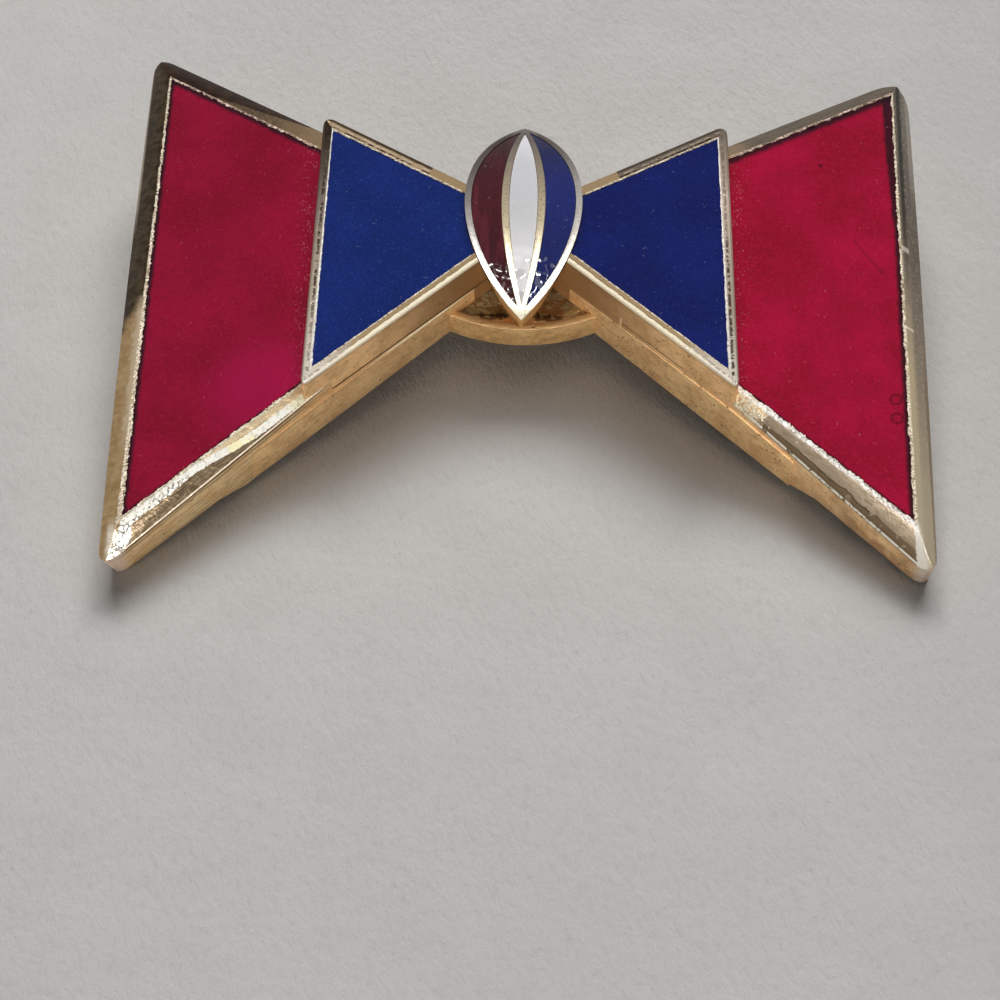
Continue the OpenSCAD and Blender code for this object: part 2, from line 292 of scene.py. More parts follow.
def oval(name, out, low, high):
    """A pointed oval between two leaning cones, grown by out, from height low to high."""
    halves = []
    for side in (LEFT, RIGHT):
        radii = [knot_c + knot_half_w + out - knot_lean * (knot_h - z) for z in (low, high)]
        bpy.ops.object.select_all(action="DESELECT")
        bpy.ops.mesh.primitive_cone_add(vertices=cone_steps, radius1=radii[0], radius2=radii[1],
                                        depth=high - low,
                                        location=(side * knot_c, 0, (low + high) / 2))
        halves.append(bpy.context.object)
    return overlap(name, *halves)

def stripe(name, half_w, half_l, out):
    """A pointed oval with upright walls."""
    r = (half_l ** 2 + half_w ** 2) / (2 * half_w)
    halves = []
    for side in (LEFT, RIGHT):
        bpy.ops.object.select_all(action="DESELECT")
        bpy.ops.mesh.primitive_cylinder_add(vertices=stripe_steps, radius=r + out, depth=through,
                                            location=(side * (r - half_w), 0, 0))
        halves.append(bpy.context.object)
    return overlap(name, *halves)

def arch(down):
    """The lying cylinder whose top is the knot's arch, lowered by down."""
    bpy.ops.object.select_all(action="DESELECT")
    bpy.ops.mesh.primitive_cylinder_add(vertices=arch_steps, radius=arch_r - down, depth=through,
                                        location=(0, 0, knot_h - arch_r),
                                        rotation=(0, math.radians(90), 0))
    return bpy.context.object

# %% [markdown]
# The left wing came out of the mould a little taller than the right one, and both lean
# slightly to the right. Two small functions turn a corner of the plan into a point on
# a wing or on a block, so that each outline is written once for both sides.
# A third one moves the sides of an outline, for the trays, the enamel and their edges.

# %% Plan of the bow
top_slope = (corner_rise - neck_rise) / (half_width_top - block_x)
low_slope = (point_drop - neck_drop) / (half_width_low - block_x)
bevel_top, bevel_low, bevel_point, bevel_side = 1.7, 1.45, 3.6, 1.15
block_low_out, block_top_in, block_low_more = 0.25, 0.1, 0.1
block_low_x, block_top_x = block_x + block_low_out, block_x - block_top_in
red_wider, red_lower = 0.15, 0.22
red_x = half_width_top - bevel_side + red_wider
red_corner = (red_x, corner_rise - bevel_top - top_slope * (half_width_top - red_x))
red_point = (red_x, -point_drop + bevel_point)
red_in_low = (block_low_x, -neck_drop + bevel_low - red_lower)
red_in_top = (block_top_x, red_corner[1] - top_slope * (red_x - block_top_x))
block_top_slope = (block_rise - block_in_rise) / (block_x - block_in_x)
block_low_slope = (block_drop - block_in_drop) / (block_x - block_in_x)
block_rim, block_rim_y, under_knot = 0.6, 0.8, 1.2

def block_spot(side, x, y, z=0.0):
    """A place on a block: the left one is a little taller."""
    return Vector((side * x, y * (1 - side * wing_skew), z))

def wing_spot(side, x, y, z=0.0):
    """A place on a wing, which also sways to the right with its height."""
    return block_spot(side, x, y, z) + Vector(((y + point_drop) * wing_sway, 0, 0))

def facing(side, spots):
    """Corners in counter-clockwise order, on either side."""
    return spots if side == RIGHT else spots[::-1]

def side_names(side):
    """The names of the four sides of such an outline, in the same order."""
    return ("low", "out", "top", "in") if side == RIGHT else ("top", "out", "low", "in")

def red_outline(side):
    """The tray of the red enamel."""
    return facing(side, [block_spot(side, *red_in_low, frame_h), wing_spot(side, *red_point, frame_h),
                         wing_spot(side, *red_corner, frame_h), block_spot(side, *red_in_top, frame_h)])

def blue_outline(side):
    """The tray of the blue enamel, which runs on under the knot."""
    low_x, top_x, run = block_low_x - block_rim, block_top_x - block_rim, block_in_x - under_knot
    return facing(side, [
        block_spot(side, under_knot, -block_in_drop + block_rim_y + block_low_slope * run, block_h),
        block_spot(side, low_x, -block_drop + block_rim_y + block_rim * block_low_slope - block_low_more,
                   block_h),
        block_spot(side, top_x, block_rise - block_rim_y - block_rim * block_top_slope, block_h),
        block_spot(side, under_knot, block_in_rise - block_rim_y - block_top_slope * run, block_h),
    ])

def grown(corners, outs):
    """The outline with each side moved outwards by its own distance."""
    lines = []
    for i, out in enumerate(outs):
        start, end = corners[i], corners[(i + 1) % len(corners)]
        way = (end - start).normalized()
        lines.append((start + Vector((way.y, -way.x, 0)) * out, way))
    found = []
    for i, (start, way) in enumerate(lines):
        before, back = lines[i - 1]
        gap = start - before
        share = (gap.x * way.y - gap.y * way.x) / (back.x * way.y - back.y * way.x)
        found.append(before + back * share)
    return found

def outline_edge(corners, side, name):
    """The two ends of one side of an outline, the enamel lying to its left."""
    i = side_names(side).index(name)
    return corners[i], corners[(i + 1) % 4]

# %% [markdown]
# A wing is one thick plate. It was ground to a bevel on three sides, and a grinding wheel
# cuts flat: so the plate is extruded to its full height and then cut with three sloping
# planes. They meet in straight ridges at the point and at the upper corner, as on the
# brooch. The tray for the enamel is cut out with a second plate.

# %% Wings
off_plan = {LEFT: {"point_out": 0.0, "corner_out": 0.3, "corner_down": 0.0, "root_down": 0.0},
            RIGHT: {"point_out": 0.2, "corner_out": 0.2, "corner_down": 0.3, "root_down": 0.09}}
root_in = 3

def wing_outline(side):
    """The corners of a wing; it starts under its block."""
    off, root_x = off_plan[side], block_x - root_in
    return {
        "root_low": wing_spot(side, root_x, -neck_drop + low_slope * root_in),
        "point": wing_spot(side, half_width_low + off["point_out"], -point_drop),
        "corner": wing_spot(side, half_width_top + off["corner_out"], corner_rise - off["corner_down"]),
        "root_top": wing_spot(side, root_x, neck_rise - off["root_down"] - top_slope * root_in),
    }

side_bulge, bulge_steps, wing_softness = 0.18, 12, 0.05
red_tray, blue_tray, above, tray_in = 0.55, 0.5, 2, 0.4
seat_gap, enamel_low = 0.03, 0.05
corner_round = {LEFT: corner_r, RIGHT: 1.6}
edges = ("low", "out", "top")
lip_wide = {LEFT: {"low": 0.14, "out": 0.3, "top": 0.12, "in": 3},
            RIGHT: {"low": 0.3, "out": 0.22, "top": 0.15, "in": 3}}
rim_share, foot_share = 0.85, {"low": 0.6, "out": 0.5, "top": 0.4}
foot_h = {LEFT: {"low": 3.8, "out": 3.3, "top": 3.5}, RIGHT: {"low": 3.2, "out": 2.8, "top": 3.5}}

def rim_outline(side):
    """The line at which the bevels start, about a lip's width outside the enamel."""
    return grown(red_outline(side), [lip_wide[side][name] * rim_share for name in side_names(side)])

def bevel_foot(side, name):
    """The middle of one bevel's lower edge, the crease."""
    spots = wing_outline(side)
    ends = {"low": ("root_low", "point"), "out": ("point", "corner"), "top": ("corner", "root_top")}[name]
    foot = spots[ends[0]].lerp(spots[ends[1]], foot_share[name])
    if name == "out":
        foot.x += side * side_bulge
    return foot + Vector((0, 0, foot_h[side][name]))

def make_wing(side, name):
    """One wing, with its bevels, its stepped back and its tray."""
    spots = wing_outline(side)
    piece = plate(name, facing(side, list(spots.values())))
    bulge_out_edge(side, spots)
    round_corner(spots["point"], point_r, point_half)
    round_corner(spots["corner"], corner_round[side], corner_half)
    extrude_in_order(piece, frame_h)
    for which in edges:
        start, end = outline_edge(rim_outline(side), side, which)
        slope = (end - start).cross(bevel_foot(side, which) - start).normalized()
        slope = slope if slope.z > 0 else -slope
        slice_off(start, slope)
    step_up_back(side)
    close_up()
    tray = plate("tray", grown(red_outline(side), (0, 0, 0, tray_in)), frame_h - red_tray)
    extrude_in_order(tray, above)
    close_up()
    cut(piece, tray)
    return piece

def bulge_out_edge(side, spots):
    """The outer edge of a wing bulges a little."""
    middle_x = (spots["point"].x + spots["corner"].x) / 2
    pick("EDGE", lambda middle, normal: abs(middle.x - middle_x) < 1)
    bpy.ops.mesh.subdivide(number_cuts=bulge_steps - 1)
    for step in range(1, bulge_steps):
        t = step / bulge_steps
        place = spots["point"].lerp(spots["corner"], t)
        move_point(place, place + Vector((side * 4 * side_bulge * t * (1 - t), 0, 0)))

step_in_x, step_out_x, tip_x, tip_y = 17.0, 18.5, 21, -20
tip_drawn_in = {LEFT: (0.35, 0.75), RIGHT: (0.1, 0.25)}

def step_up_back(side):
    """The back is stepped up under the outer end of the wing, and drawn in at its point."""
    for x in (step_in_x, step_out_x):
        bpy.ops.mesh.select_all(action="SELECT")
        bpy.ops.mesh.bisect(plane_co=(side * x, 0, 0), plane_no=(1, 0, 0))
    pick("VERT", lambda middle, normal: middle.z < 0.01 and side * middle.x > step_out_x - 0.1)
    bpy.ops.transform.translate(value=(0, 0, back_step))
    pick("VERT", lambda middle, normal: middle.z < back_step + 0.01 and side * middle.x > tip_x
         and middle.y < tip_y)
    bpy.ops.transform.translate(value=(-side * tip_drawn_in[side][0], tip_drawn_in[side][1], 0))

wings = {side: make_wing(side, "wing_" + name) for side, name in hand.items()}
for piece in wings.values():
    soften(piece, wing_softness, 12)
    print(piece.name, len(piece.data.vertices), "points")

# %% [markdown]
# Where the metal meets the enamel it was ground by hand, so its edge is a thin, bright and
# ragged lip that laps over the enamel. Each one is a strip, cut very fine along its length,
# raised in the middle, made solid and roughened by two cloud textures in Displace
# modifiers: a fine one for the teeth, and a coarse one that lets the edge wander. The
# wider a lip is, the longer its teeth are.

# %% Ragged lips
lip_over, lip_sunk, lip_crown, lip_thick = 0.05, 0.03, 0.07, 0.12
tooth_size, wander_size, lip_cuts_per_mm, lip_recuts, lip_cross_cuts = 0.11, 0.7, 1.8, 5, 3

def make_lip(name, corners, side, which, teeth, wander, out):
    """A ragged strip along one side of an enamel's outline; an outer one narrows upwards."""
    outs = [0 if n == "in" else 1 for n in side_names(side)]
    outer, inner = grown(corners, [out * n for n in outs]), grown(corners, [-lip_over * n for n in outs])
    start, end = outline_edge(outer, side, which)
    inner_start, inner_end = outline_edge(inner, side, which)
    height = start.z
    if which == "out" and start.y > end.y:
        start = start.lerp(inner_start, 0.5)
    elif which == "out":
        end = end.lerp(inner_end, 0.4)
    piece = plate(name, [start, end, inner_end, inner_start], height)
    way = (end - start).normalized()
    along = lambda middle, edge: abs(way.dot(edge)) > 0.95
    length = (end - start).length
    for cuts in (int(length * lip_cuts_per_mm), lip_recuts):
        pick("EDGE", along)
        bpy.ops.mesh.subdivide(number_cuts=cuts)
    pick("EDGE", lambda middle, edge: not along(middle, edge))
    bpy.ops.mesh.subdivide(number_cuts=lip_cross_cuts)
    bpy.ops.object.mode_set(mode="OBJECT")
    ragged = piece.vertex_groups.new(name="ragged")
    for point in piece.data.vertices:
        off = point.co - start
        share = (way.x * off.y - way.y * off.x) / (out + lip_over)
        point.co.z = height - lip_sunk + lip_crown * math.sin(math.pi * min(max(share, 0), 1))
        ragged.add([point.index], min(max(share * 1.5, 0.1), 1), "REPLACE")
    apply(piece, "SOLIDIFY", thickness=lip_thick, offset=-1)
    for size, strength in ((tooth_size, teeth), (wander_size, wander)):
        cloud = bpy.data.textures.new(name + "_cloud", "CLOUDS")
        cloud.noise_scale, cloud.noise_depth, cloud.cloud_type = size, 1, "COLOR"
        apply(piece, "DISPLACE", texture=cloud, direction="RGB_TO_XYZ", strength=strength,
              texture_coords="LOCAL", vertex_group="ragged")
    return piece

short_teeth, teeth_share = 0.12, 0.35
lips = {LEFT: {}, RIGHT: {}}
for side, name in hand.items():
    for which in edges:
        wide = lip_wide[side][which]
        wander = 0.34 if (side, which) == (RIGHT, "top") else 0.16
        lips[side][which] = make_lip(f"red_lip_{name}_{which}", red_outline(side), side, which,
                                     short_teeth + wide * teeth_share, wander, wide)
print("red lips", [len(p.data.polygons) for side in lips for p in lips[side].values()])

# %% [markdown]
# Each block is a plate too, extruded higher than the wing. Its frame is a rounded band:
# the upper edge is bevelled all round, and the tray for the blue enamel is cut out of the
# top. A ragged lip runs round the tray, as on the wings but finer. It is trimmed where the
# knot's side stands.

# %% Raised blocks
well_gap, well_low, well_high = 0.06, hub_h - 0.6, 8
block_top_r, block_top_half = 0.5, math.radians(30.8)
block_low_r, block_low_half = 0.3, math.radians(24.3)
block_round = 0.13

def block_outline(side):
    """The corners of a block; it runs on under the knot."""
    run = block_in_x - under_knot
    return [
        block_spot(side, under_knot, -block_in_drop + block_low_slope * run),
        block_spot(side, block_low_x, -block_drop - block_low_more),
        block_spot(side, block_top_x, block_rise),
        block_spot(side, under_knot, block_in_rise - block_top_slope * run),
    ]

def make_block(side, name):
    """One raised block, with its tray and the well for the knot."""
    outline = block_outline(side)
    piece = plate(name, facing(side, outline))
    round_corner(outline[2], block_top_r, block_top_half)
    round_corner(outline[1], block_low_r, block_low_half)
    extrude_up(block_h)
    pick("EDGE", lambda middle, way: middle.z > block_h - 0.001)
    bpy.ops.mesh.bevel(offset=block_round, segments=4, affect="EDGES")
    close_up()
    cut(piece, slab("tray", blue_outline(side), block_h - blue_tray, above))
    cut(piece, oval("well", well_gap, well_low, well_high))
    return piece

def trim(x, side):
    """Cuts off what lies nearer the middle of the bow than x."""
    bpy.ops.object.mode_set(mode="EDIT")
    slice_off((side * x, 0, 0), (-side, 0, 0))
    close_up()

lip_end = {"low": 3.25, "out": 5.0, "top": 3.95}
blue_lip_wide = {"low": 0.08, "out": 0.15, "top": 0.08}
blue_teeth, blue_wander = 0.09, 0.06
blocks, block_lips = {}, {LEFT: {}, RIGHT: {}}
for side, name in hand.items():
    blocks[side] = make_block(side, "block_" + name)
    for which in edges:
        block_lips[side][which] = make_lip(f"blue_lip_{name}_{which}", blue_outline(side), side, which,
                                           blue_teeth, blue_wander, blue_lip_wide[which])
        trim(lip_end[which], side)
print("blocks", [len(p.data.polygons) for p in blocks.values()])
print("blue lips", [len(p.data.polygons) for side in block_lips for p in block_lips[side].values()])

# %% [markdown]
# A lower wall runs out from under each block, where the mould was cut wider. On the left
# it ends in a small ledge, a bright line of painted highlight with a dark seam above it. On the right the
# wall only flares, so the upper edge there is drawn in until it is flush.

# %% Skirts
skirt_out, skirt_run, skirt_under, skirt_left_out = 0.36, 3.75, 1, 0.03

def make_skirt(side, name):
    """The lower wall under one block."""
    end_x = block_x + skirt_run
    outer = block_spot(side, block_x, -block_drop - skirt_out)
    outline = [
        block_spot(side, block_in_x, -block_in_drop),
        outer,
        block_spot(side, end_x, -block_drop - low_slope * (end_x - block_x)),
        block_spot(side, end_x, -block_drop + skirt_under),
        block_spot(side, block_in_x, -block_in_drop + skirt_under),
    ]
    piece = plate(name, facing(side, outline))
    extrude_up(skirt_h)
    if side == RIGHT:
        top = outer + Vector((0, 0, skirt_h))
        move_point(top, top + Vector((0, skirt_out - skirt_left_out, 0)))
    close_up()
    soften(piece, 0.05, 30)
    return piece

skirts = {side: make_skirt(side, "skirt_" + name) for side, name in hand.items()}

# %% [markdown]
# The hub joins the wings under the knot. Its front is round, and behind a narrow rim it is
# hollow and rough, as it came from the mould. It starts as a cylinder, which is cut to width
# with three bisections; its top is inset for the rim and sunk for the hollow.

# %% Hub
hub_r, hub_drop, hub_rim, hub_hollow = 11.5, 6.94, 0.54, 0.4
hub_half_w, hub_rise, hub_steps, hollow_wall = 5.0, 1.2, 360, 0.1

def make_hub():
    """The disc between the wings."""
    bpy.ops.object.select_all(action="DESELECT")
    bpy.ops.mesh.primitive_cylinder_add(vertices=hub_steps, radius=hub_r, depth=hub_h,
                                        location=(0, hub_r - hub_drop, hub_h / 2))
    piece = bpy.context.object
    piece.name = piece.data.name = "hub"
    settle(piece)
    edit(piece)
    for out, way in ((hub_half_w, (1, 0, 0)), (hub_half_w, (-1, 0, 0)), (hub_rise, (0, 1, 0))):
        slice_off(Vector(way) * out, way)
    pick("FACE", lambda middle, normal: normal.z > 0.9 and middle.z > hub_h - 0.01)
    bpy.ops.mesh.inset(thickness=hub_rim, depth=0)
    bpy.ops.mesh.inset(thickness=hollow_wall, depth=-hub_hollow)
    close_up()
    soften(piece, 0.07, 30)
    return piece

hub = make_hub()
print("hub", len(hub.data.polygons), "faces")

# %% [markdown]
# The knot's setting is the oval solid under the arch, with three cells sunk in its top:
# a narrow one in the middle and a wide one on each side. What stays between them
# is the rim and the two dividers.

# %% Knot setting
knot_rim, white_half_w, divider_w, white_short, cell_depth = 0.4, 0.93, 0.46, 0.75, 0.5
white_half_l = knot_half_l - white_short
knot_foot, cell_low, cell_high = hub_h - 0.57, 2, 9

def side_cell(side, gap, down):
    """The cell on one side of the knot, down to a depth under the arch."""
    cell = oval("side_cell", -knot_rim - gap, cell_low, cell_high)
    bpy.ops.object.select_all(action="DESELECT")
    bpy.ops.mesh.primitive_cube_add(size=through, location=(side * through / 2, 0, 5))
    cut(cell, bpy.context.object, "INTERSECT")
    cut(cell, stripe("divider", white_half_w + divider_w, knot_half_l, gap))
    cut(cell, arch(down))
    return cell

def make_setting():
    """The knot's metal."""
    piece = oval("knot_cast", 0, knot_foot, well_high)
    cut(piece, arch(0), "INTERSECT")
    for side in (LEFT, RIGHT):
        cut(piece, side_cell(side, 0, cell_depth))
    middle = stripe("middle_cell", white_half_w, white_half_l, 0)
    cut(middle, arch(cell_depth))
    cut(piece, middle)
    soften(piece, 0.04, 40)
    return piece

setting = make_setting()
print("setting", len(setting.data.polygons), "faces")

# %% [markdown]
# The enamel of the knot fills its three cells almost to the brim. Each stripe is made as its
# cell was, a hair smaller, and cut off by a lower arch.

# %% Knot enamel
def make_stripes():
    """The knot's three fields of enamel."""
    found = {}
    for name, side in (("maroon_stripe", LEFT), ("navy_stripe", RIGHT)):
        cell = side_cell(side, seat_gap, cell_depth - seat_gap)
        cut(cell, arch(enamel_low), "INTERSECT")
        cell.name = cell.data.name = name
        found[name] = cell
    middle = stripe("white_stripe", white_half_w, white_half_l, -seat_gap)
    cut(middle, arch(cell_depth - seat_gap))
    cut(middle, arch(enamel_low), "INTERSECT")
    found["white_stripe"] = middle
    return found

stripes = make_stripes()
print("stripes", {name: len(p.data.polygons) for name, p in stripes.items()})

# %% [markdown]
# The red and the blue enamel are thin plates in their trays. The real surface lies a
# little under the metal's edge.

# %% Flat enamel
flat_gap, inner_gap, bed_gap = 0.01, 0.02, 0.02

def make_flat(name, outline, thick):
    """A plate of enamel, its face a little under the edge of its tray."""
    inset = grown(outline, (-flat_gap, -flat_gap, -flat_gap, -inner_gap))
    return slab(name, inset, outline[0].z - thick, thick - enamel_low)

reds, blues = {}, {}
for side, name in hand.items():
    reds[side] = make_flat("red_" + name, red_outline(side), red_tray - bed_gap)
    blues[side] = make_flat("navy_" + name, blue_outline(side), blue_tray - bed_gap)
    cut(blues[side], oval("well", well_gap + seat_gap, well_low, well_high))

# %% [markdown]
# Each piece now goes from the bench to its place in the frame, and the CAD node it stands for
# is hidden.

# %% Put the pieces down
all_lips = [lip for ring in (lips, block_lips) for side in hand for lip in ring[side].values()]
for piece in [*wings.values(), *blocks.values(), *skirts.values(), hub, *all_lips]:
    put_down(piece, ["bow_casting"])
for piece, node, slot in (
        (setting, "knot_setting", "worn_silver_metal"),
        (reds[LEFT], "red_enamel_left", "red_enamel"),
        (reds[RIGHT], "red_enamel_right", "red_enamel"),
        (blues[LEFT], "blue_enamel_left", "navy_enamel"),
        (blues[RIGHT], "blue_enamel_right", "navy_enamel"),
        (stripes["maroon_stripe"], "knot_enamel_maroon", "maroon_enamel"),
        (stripes["navy_stripe"], "knot_enamel_blue", "navy_enamel"),
        (stripes["white_stripe"], "knot_enamel_white", "white_enamel")):
    put_down(piece, [node])

# %% [markdown]
# Shader maths reads best as plain sums. This class holds one socket of a node and lets it
# be added, multiplied and so on; each such sign adds one Math node. Paint makes one
# material, and its node method adds any other node. Places are worked out in millimetres on
# the bench, where the lines of the brooch are known, so each wear mark, painted highlight and painted shade
# goes where it belongs.

# %% Shader maths
class Wire:
    """The output of a shader node, which can be used in sums."""
    def __init__(self, paint, socket):
        self.paint, self.socket = paint, socket

    def math(self, how, *parts):
        """Adds one Math node."""
        return self.paint.node("ShaderNodeMath", {"operation": how}, dict(enumerate(parts)))

    def __add__(self, other): return self.math("ADD", self, other)
    def __radd__(self, other): return self.math("ADD", other, self)
    def __sub__(self, other): return self.math("SUBTRACT", self, other)
    def __rsub__(self, other): return self.math("SUBTRACT", other, self)
    def __mul__(self, other): return self.math("MULTIPLY", self, other)
    def __rmul__(self, other): return self.math("MULTIPLY", other, self)
    def __truediv__(self, other): return self.math("DIVIDE", self, other)
    def __pow__(self, other): return self.math("POWER", self, other)
    def __neg__(self): return self.math("MULTIPLY", self, -1.0)
    def __abs__(self): return self.math("ABSOLUTE", self)
    def most(self, other): return self.math("MAXIMUM", self, other)

    def step(self, low, high):
        """0 below low, 1 above high, smooth between them; high may be under low."""
        if high < low:
            return 1.0 - self.step(high, low)
        return self.paint.node("ShaderNodeMapRange", {"interpolation_type": "SMOOTHSTEP"},
                               {0: self, 1: low, 2: high, 3: 0.0, 4: 1.0})

    def band(self, middle, half):
        """1 at the middle and 0 half a width away on either side."""
        return abs(self - middle).step(half, half * 0.3)

    def cover(self, share, tone):
        """Lays another tone over this colour, as far as the share says."""
        self.socket = self.paint.mix(share, self, tone).socket


class Paint:
    """One material, built node by node."""
    def __init__(self, name):
        self.material = bpy.data.materials.new(name)
        self.material.use_nodes = True
        self.tree = self.material.node_tree
        self.tree.nodes.clear()
        self.shader = self.tree.nodes.new("ShaderNodeBsdfPrincipled")
        out = self.tree.nodes.new("ShaderNodeOutputMaterial")
        self.tree.links.new(self.shader.outputs[0], out.inputs[0])
        self.places = {}

    def node(self, kind, settings={}, values={}, output=0):
        """Adds a node; settings go first, then the values or wires of its sockets."""
        made = self.tree.nodes.new(kind)
        for name, value in settings.items():
            setattr(made, name, value)
        for name, value in values.items():
            self.feed(made.inputs[name], value)
        return Wire(self, made.outputs[output])

    def feed(self, socket, value):
        """Links a wire to a socket, or writes a plain value into it."""
        if isinstance(value, Wire):
            self.tree.links.new(value.socket, socket)
        elif hasattr(socket, "default_value"):
            if socket.type == "RGBA" and len(value) == 3:
                value = (*value, 1)
            socket.default_value = value

    def bench(self):
        """The point being shaded, in millimetres on the bench."""
        if "bench" not in self.places:
            point = self.node("ShaderNodeTexCoord", output=3)
            self.places["bench"] = self.node(
                "ShaderNodeMapping", {"vector_type": "TEXTURE"},
                {0: point, 1: tuple(bench_place), 2: (lean, -roll, 0), 3: (0.001, 0.001, 0.001)})
        return self.places["bench"]

    def axes(self):
        """The same point as three wires: x, y and z."""
        if "axes" not in self.places:
            made = self.tree.nodes.new("ShaderNodeSeparateXYZ")
            self.tree.links.new(self.bench().socket, made.inputs[0])
            self.places["axes"] = [Wire(self, made.outputs[i]) for i in range(3)]
        return self.places["axes"]

    def line(self, start, end):
        """How far a point lies to the left of a line, and how far along it."""
        x, y, z = self.axes()
        way = (end - start).normalized()
        left = (y - start.y) * way.x - (x - start.x) * way.y
        along = (x - start.x) * way.x + (y - start.y) * way.y
        return left, along

    def distance(self, x, y):
        """How far a point lies from one place of the plan."""
        px, py = self.axes()[:2]
        return ((px - x) * (px - x) + (py - y) * (py - y)) ** 0.5

    def near(self, x, y, size):
        """1 at one place of the plan, fading to 0 at a distance."""
        return self.distance(x, y).step(size, size * 0.3)

    def vector(self, x, y, z):
        """Three numbers as one place."""
        return self.node("ShaderNodeCombineXYZ", {}, {0: x, 1: y, 2: z})

    def noise(self, size, detail=3.0, rough=0.5, shift=0.0, point=None, output=0, stretch=(1, 1, 1)):
        """Soft noise whose blotches are about size millimetres across."""
        point = self.node("ShaderNodeMapping", {}, {0: point or self.bench(), 3: stretch,
                                                    1: (shift, shift * 0.7, shift * 1.3)})
        return self.node("ShaderNodeTexNoise", {}, {"Vector": point, "Scale": 1 / size,
                                                    "Detail": detail, "Roughness": rough}, output)

    def cells(self, point, size, feature="F1"):
        """Distance to the nearest of many scattered points, or to the edge of its cell."""
        return self.node("ShaderNodeTexVoronoi", {"feature": feature}, {"Vector": point, "Scale": 1 / size})

    def pits(self, size, share, shift=0.0):
        """Scattered small pits: 1 in a pit, 0 elsewhere; share from 0 to 1."""
        where = self.noise(size * 3, 2, shift=shift + 4).step(0.68 - 0.3 * share, 0.74 - 0.3 * share)
        point = self.node("ShaderNodeMapping", {}, {0: self.bench(), 1: (shift, shift, shift)})
        return self.cells(point, size).step(0.36, 0.12) * where

    def mix(self, share, one, other):
        """A blend of two colours."""
        return self.node("ShaderNodeMix", {"data_type": "RGBA"}, {0: share, 6: one, 7: other}, 2)

    def ramp(self, value, *stops):
        """A colour from a row of (place, colour) stops."""
        colour = self.node("ShaderNodeValToRGB", {}, {0: value})
        elements = colour.socket.node.color_ramp.elements
        while len(elements) < len(stops):
            elements.new(1.0)
        for element, (place, tone) in zip(elements, stops):
            element.position, element.color = place, (*tone, 1)
        return colour

    def bump(self, height, depth):
        """Raised and sunk relief; depth in millimetres for a height of 1."""
        return self.node("ShaderNodeBump", {}, {"Height": height, "Distance": depth / 1000, "Strength": 1.0})

    def metallic(self, colour, is_wall):
        """Pale tones, both worn white metal and painted highlights, and bare walls scatter light; what is
        left mirrors it.
        """
        grey = self.node("ShaderNodeRGBToBW", {}, {0: colour})
        return 1.0 - (grey.step(0.6, 0.9) * 0.85).most(is_wall * 0.55)

    def half_polished(self, is_wall, face, smooth, wall, rough, shine, fine):
        """The finish of a casting with a polished face and unpolished walls."""
        return self.set(Base_Color=self.mix(is_wall, face, wall), Metallic=self.metallic(face, is_wall),
                        Roughness=shine + is_wall * (0.5 - shine) + fine * 0.12,
                        Normal=self.bump(smooth + (rough - smooth) * is_wall, 0.04))

    def set(self, **values):
        """Fills sockets of the shader; a low line in a name stands for a space."""
        for name, value in values.items():
            self.feed(self.shader.inputs[name.replace("_", " ")], value)
        return self.material

# %% [markdown]
# The cast walls are matte, golden brown and pitted: nobody polished them. The finish is a
# warm metal that is half dull, with dark dirt in the pits, faint vertical drag marks and
# paler blotches where the gilding is thin. The same sums serve walls, hub and skirts.

# %% Cast walls
def shade(tone, by, plus=0.0):
    """A tone made lighter or darker."""
    return tuple(min(c * by + plus, 1) for c in tone)

def cast_wall(paint, light, dark, pitted=0.5, shift=0.0):
    """Colour and relief of an unpolished wall."""
    x, y, z = paint.axes()
    broad = paint.noise(1.6, 4, 0.65, shift)
    fine = paint.noise(0.2, 4, 0.7, shift + 3)
    drag = paint.noise(0.35, 3, 0.6, shift + 5, stretch=(0.5, 0.5, 1.6))
    pits = paint.pits(0.3, pitted, shift)
    tiny = paint.pits(0.15, pitted * 0.8, shift + 9)
    colour = paint.mix(broad.step(0.36, 0.62), dark, light)
    colour.cover(drag.step(0.5, 0.66) * 0.4, shade(dark, 0.55))
    colour.cover(fine.step(0.5, 0.7) * 0.5, shade(light, 1.3))
    dirt = (pits * 0.85).most(tiny * 0.6)
    colour.cover(dirt, (0.16, 0.07, 0.025))
    return colour, broad * 0.8 + fine * 0.7 + drag * 0.5 - dirt * 1.2

# %% [markdown]
# The bevels of the wings were polished, and each one has its own painted reflection, with some wear
# and tarnish: nearly black at the upper left, grey at the upper right, and white below, a painted
# highlight where the metal is also worn. Each wing has one material that finds its bevels by how far
# a point has fallen from the enamel's edge. What lies under the surface found this way is the wall.

# %% Places on a wing
ridge_ends = {LEFT: Vector((-24.3, -24.8, 0)), RIGHT: Vector((24.3, -24.2, 0))}

def wing_drops(paint, side):
    """How deep each bevel lies under the frame's top, at the place of a point."""
    drops = {}
    for which in edges:
        start, end = outline_edge(rim_outline(side), side, which)
        way, foot = (end - start).normalized(), bevel_foot(side, which) - start
        width = abs(way.x * foot.y - way.y * foot.x)
        left, along = paint.line(start, end)
        drops[which] = left * (-(frame_h - foot_h[side][which]) / width)
    return drops

def beside(paint, side, which):
    """How far out from one edge of the enamel a point lies, and how far along that edge,
    counted from the block, or from the lower end of the outer edge."""
    start, end = outline_edge(red_outline(side), side, which)
    left, along = paint.line(start, end)
    if (side == RIGHT) == (which == "top"):
        along = (end - start).length - along
    return -left, along

def crease_distance(paint, side, which):
    """How far inside the wing's lower or outer edge a point lies."""
    spots = wing_outline(side)
    ends = {"low": ("root_low", "point"), "out": ("point", "corner")}[which]
    left, along = paint.line(spots[ends[0]], spots[ends[1]])
    return left * side

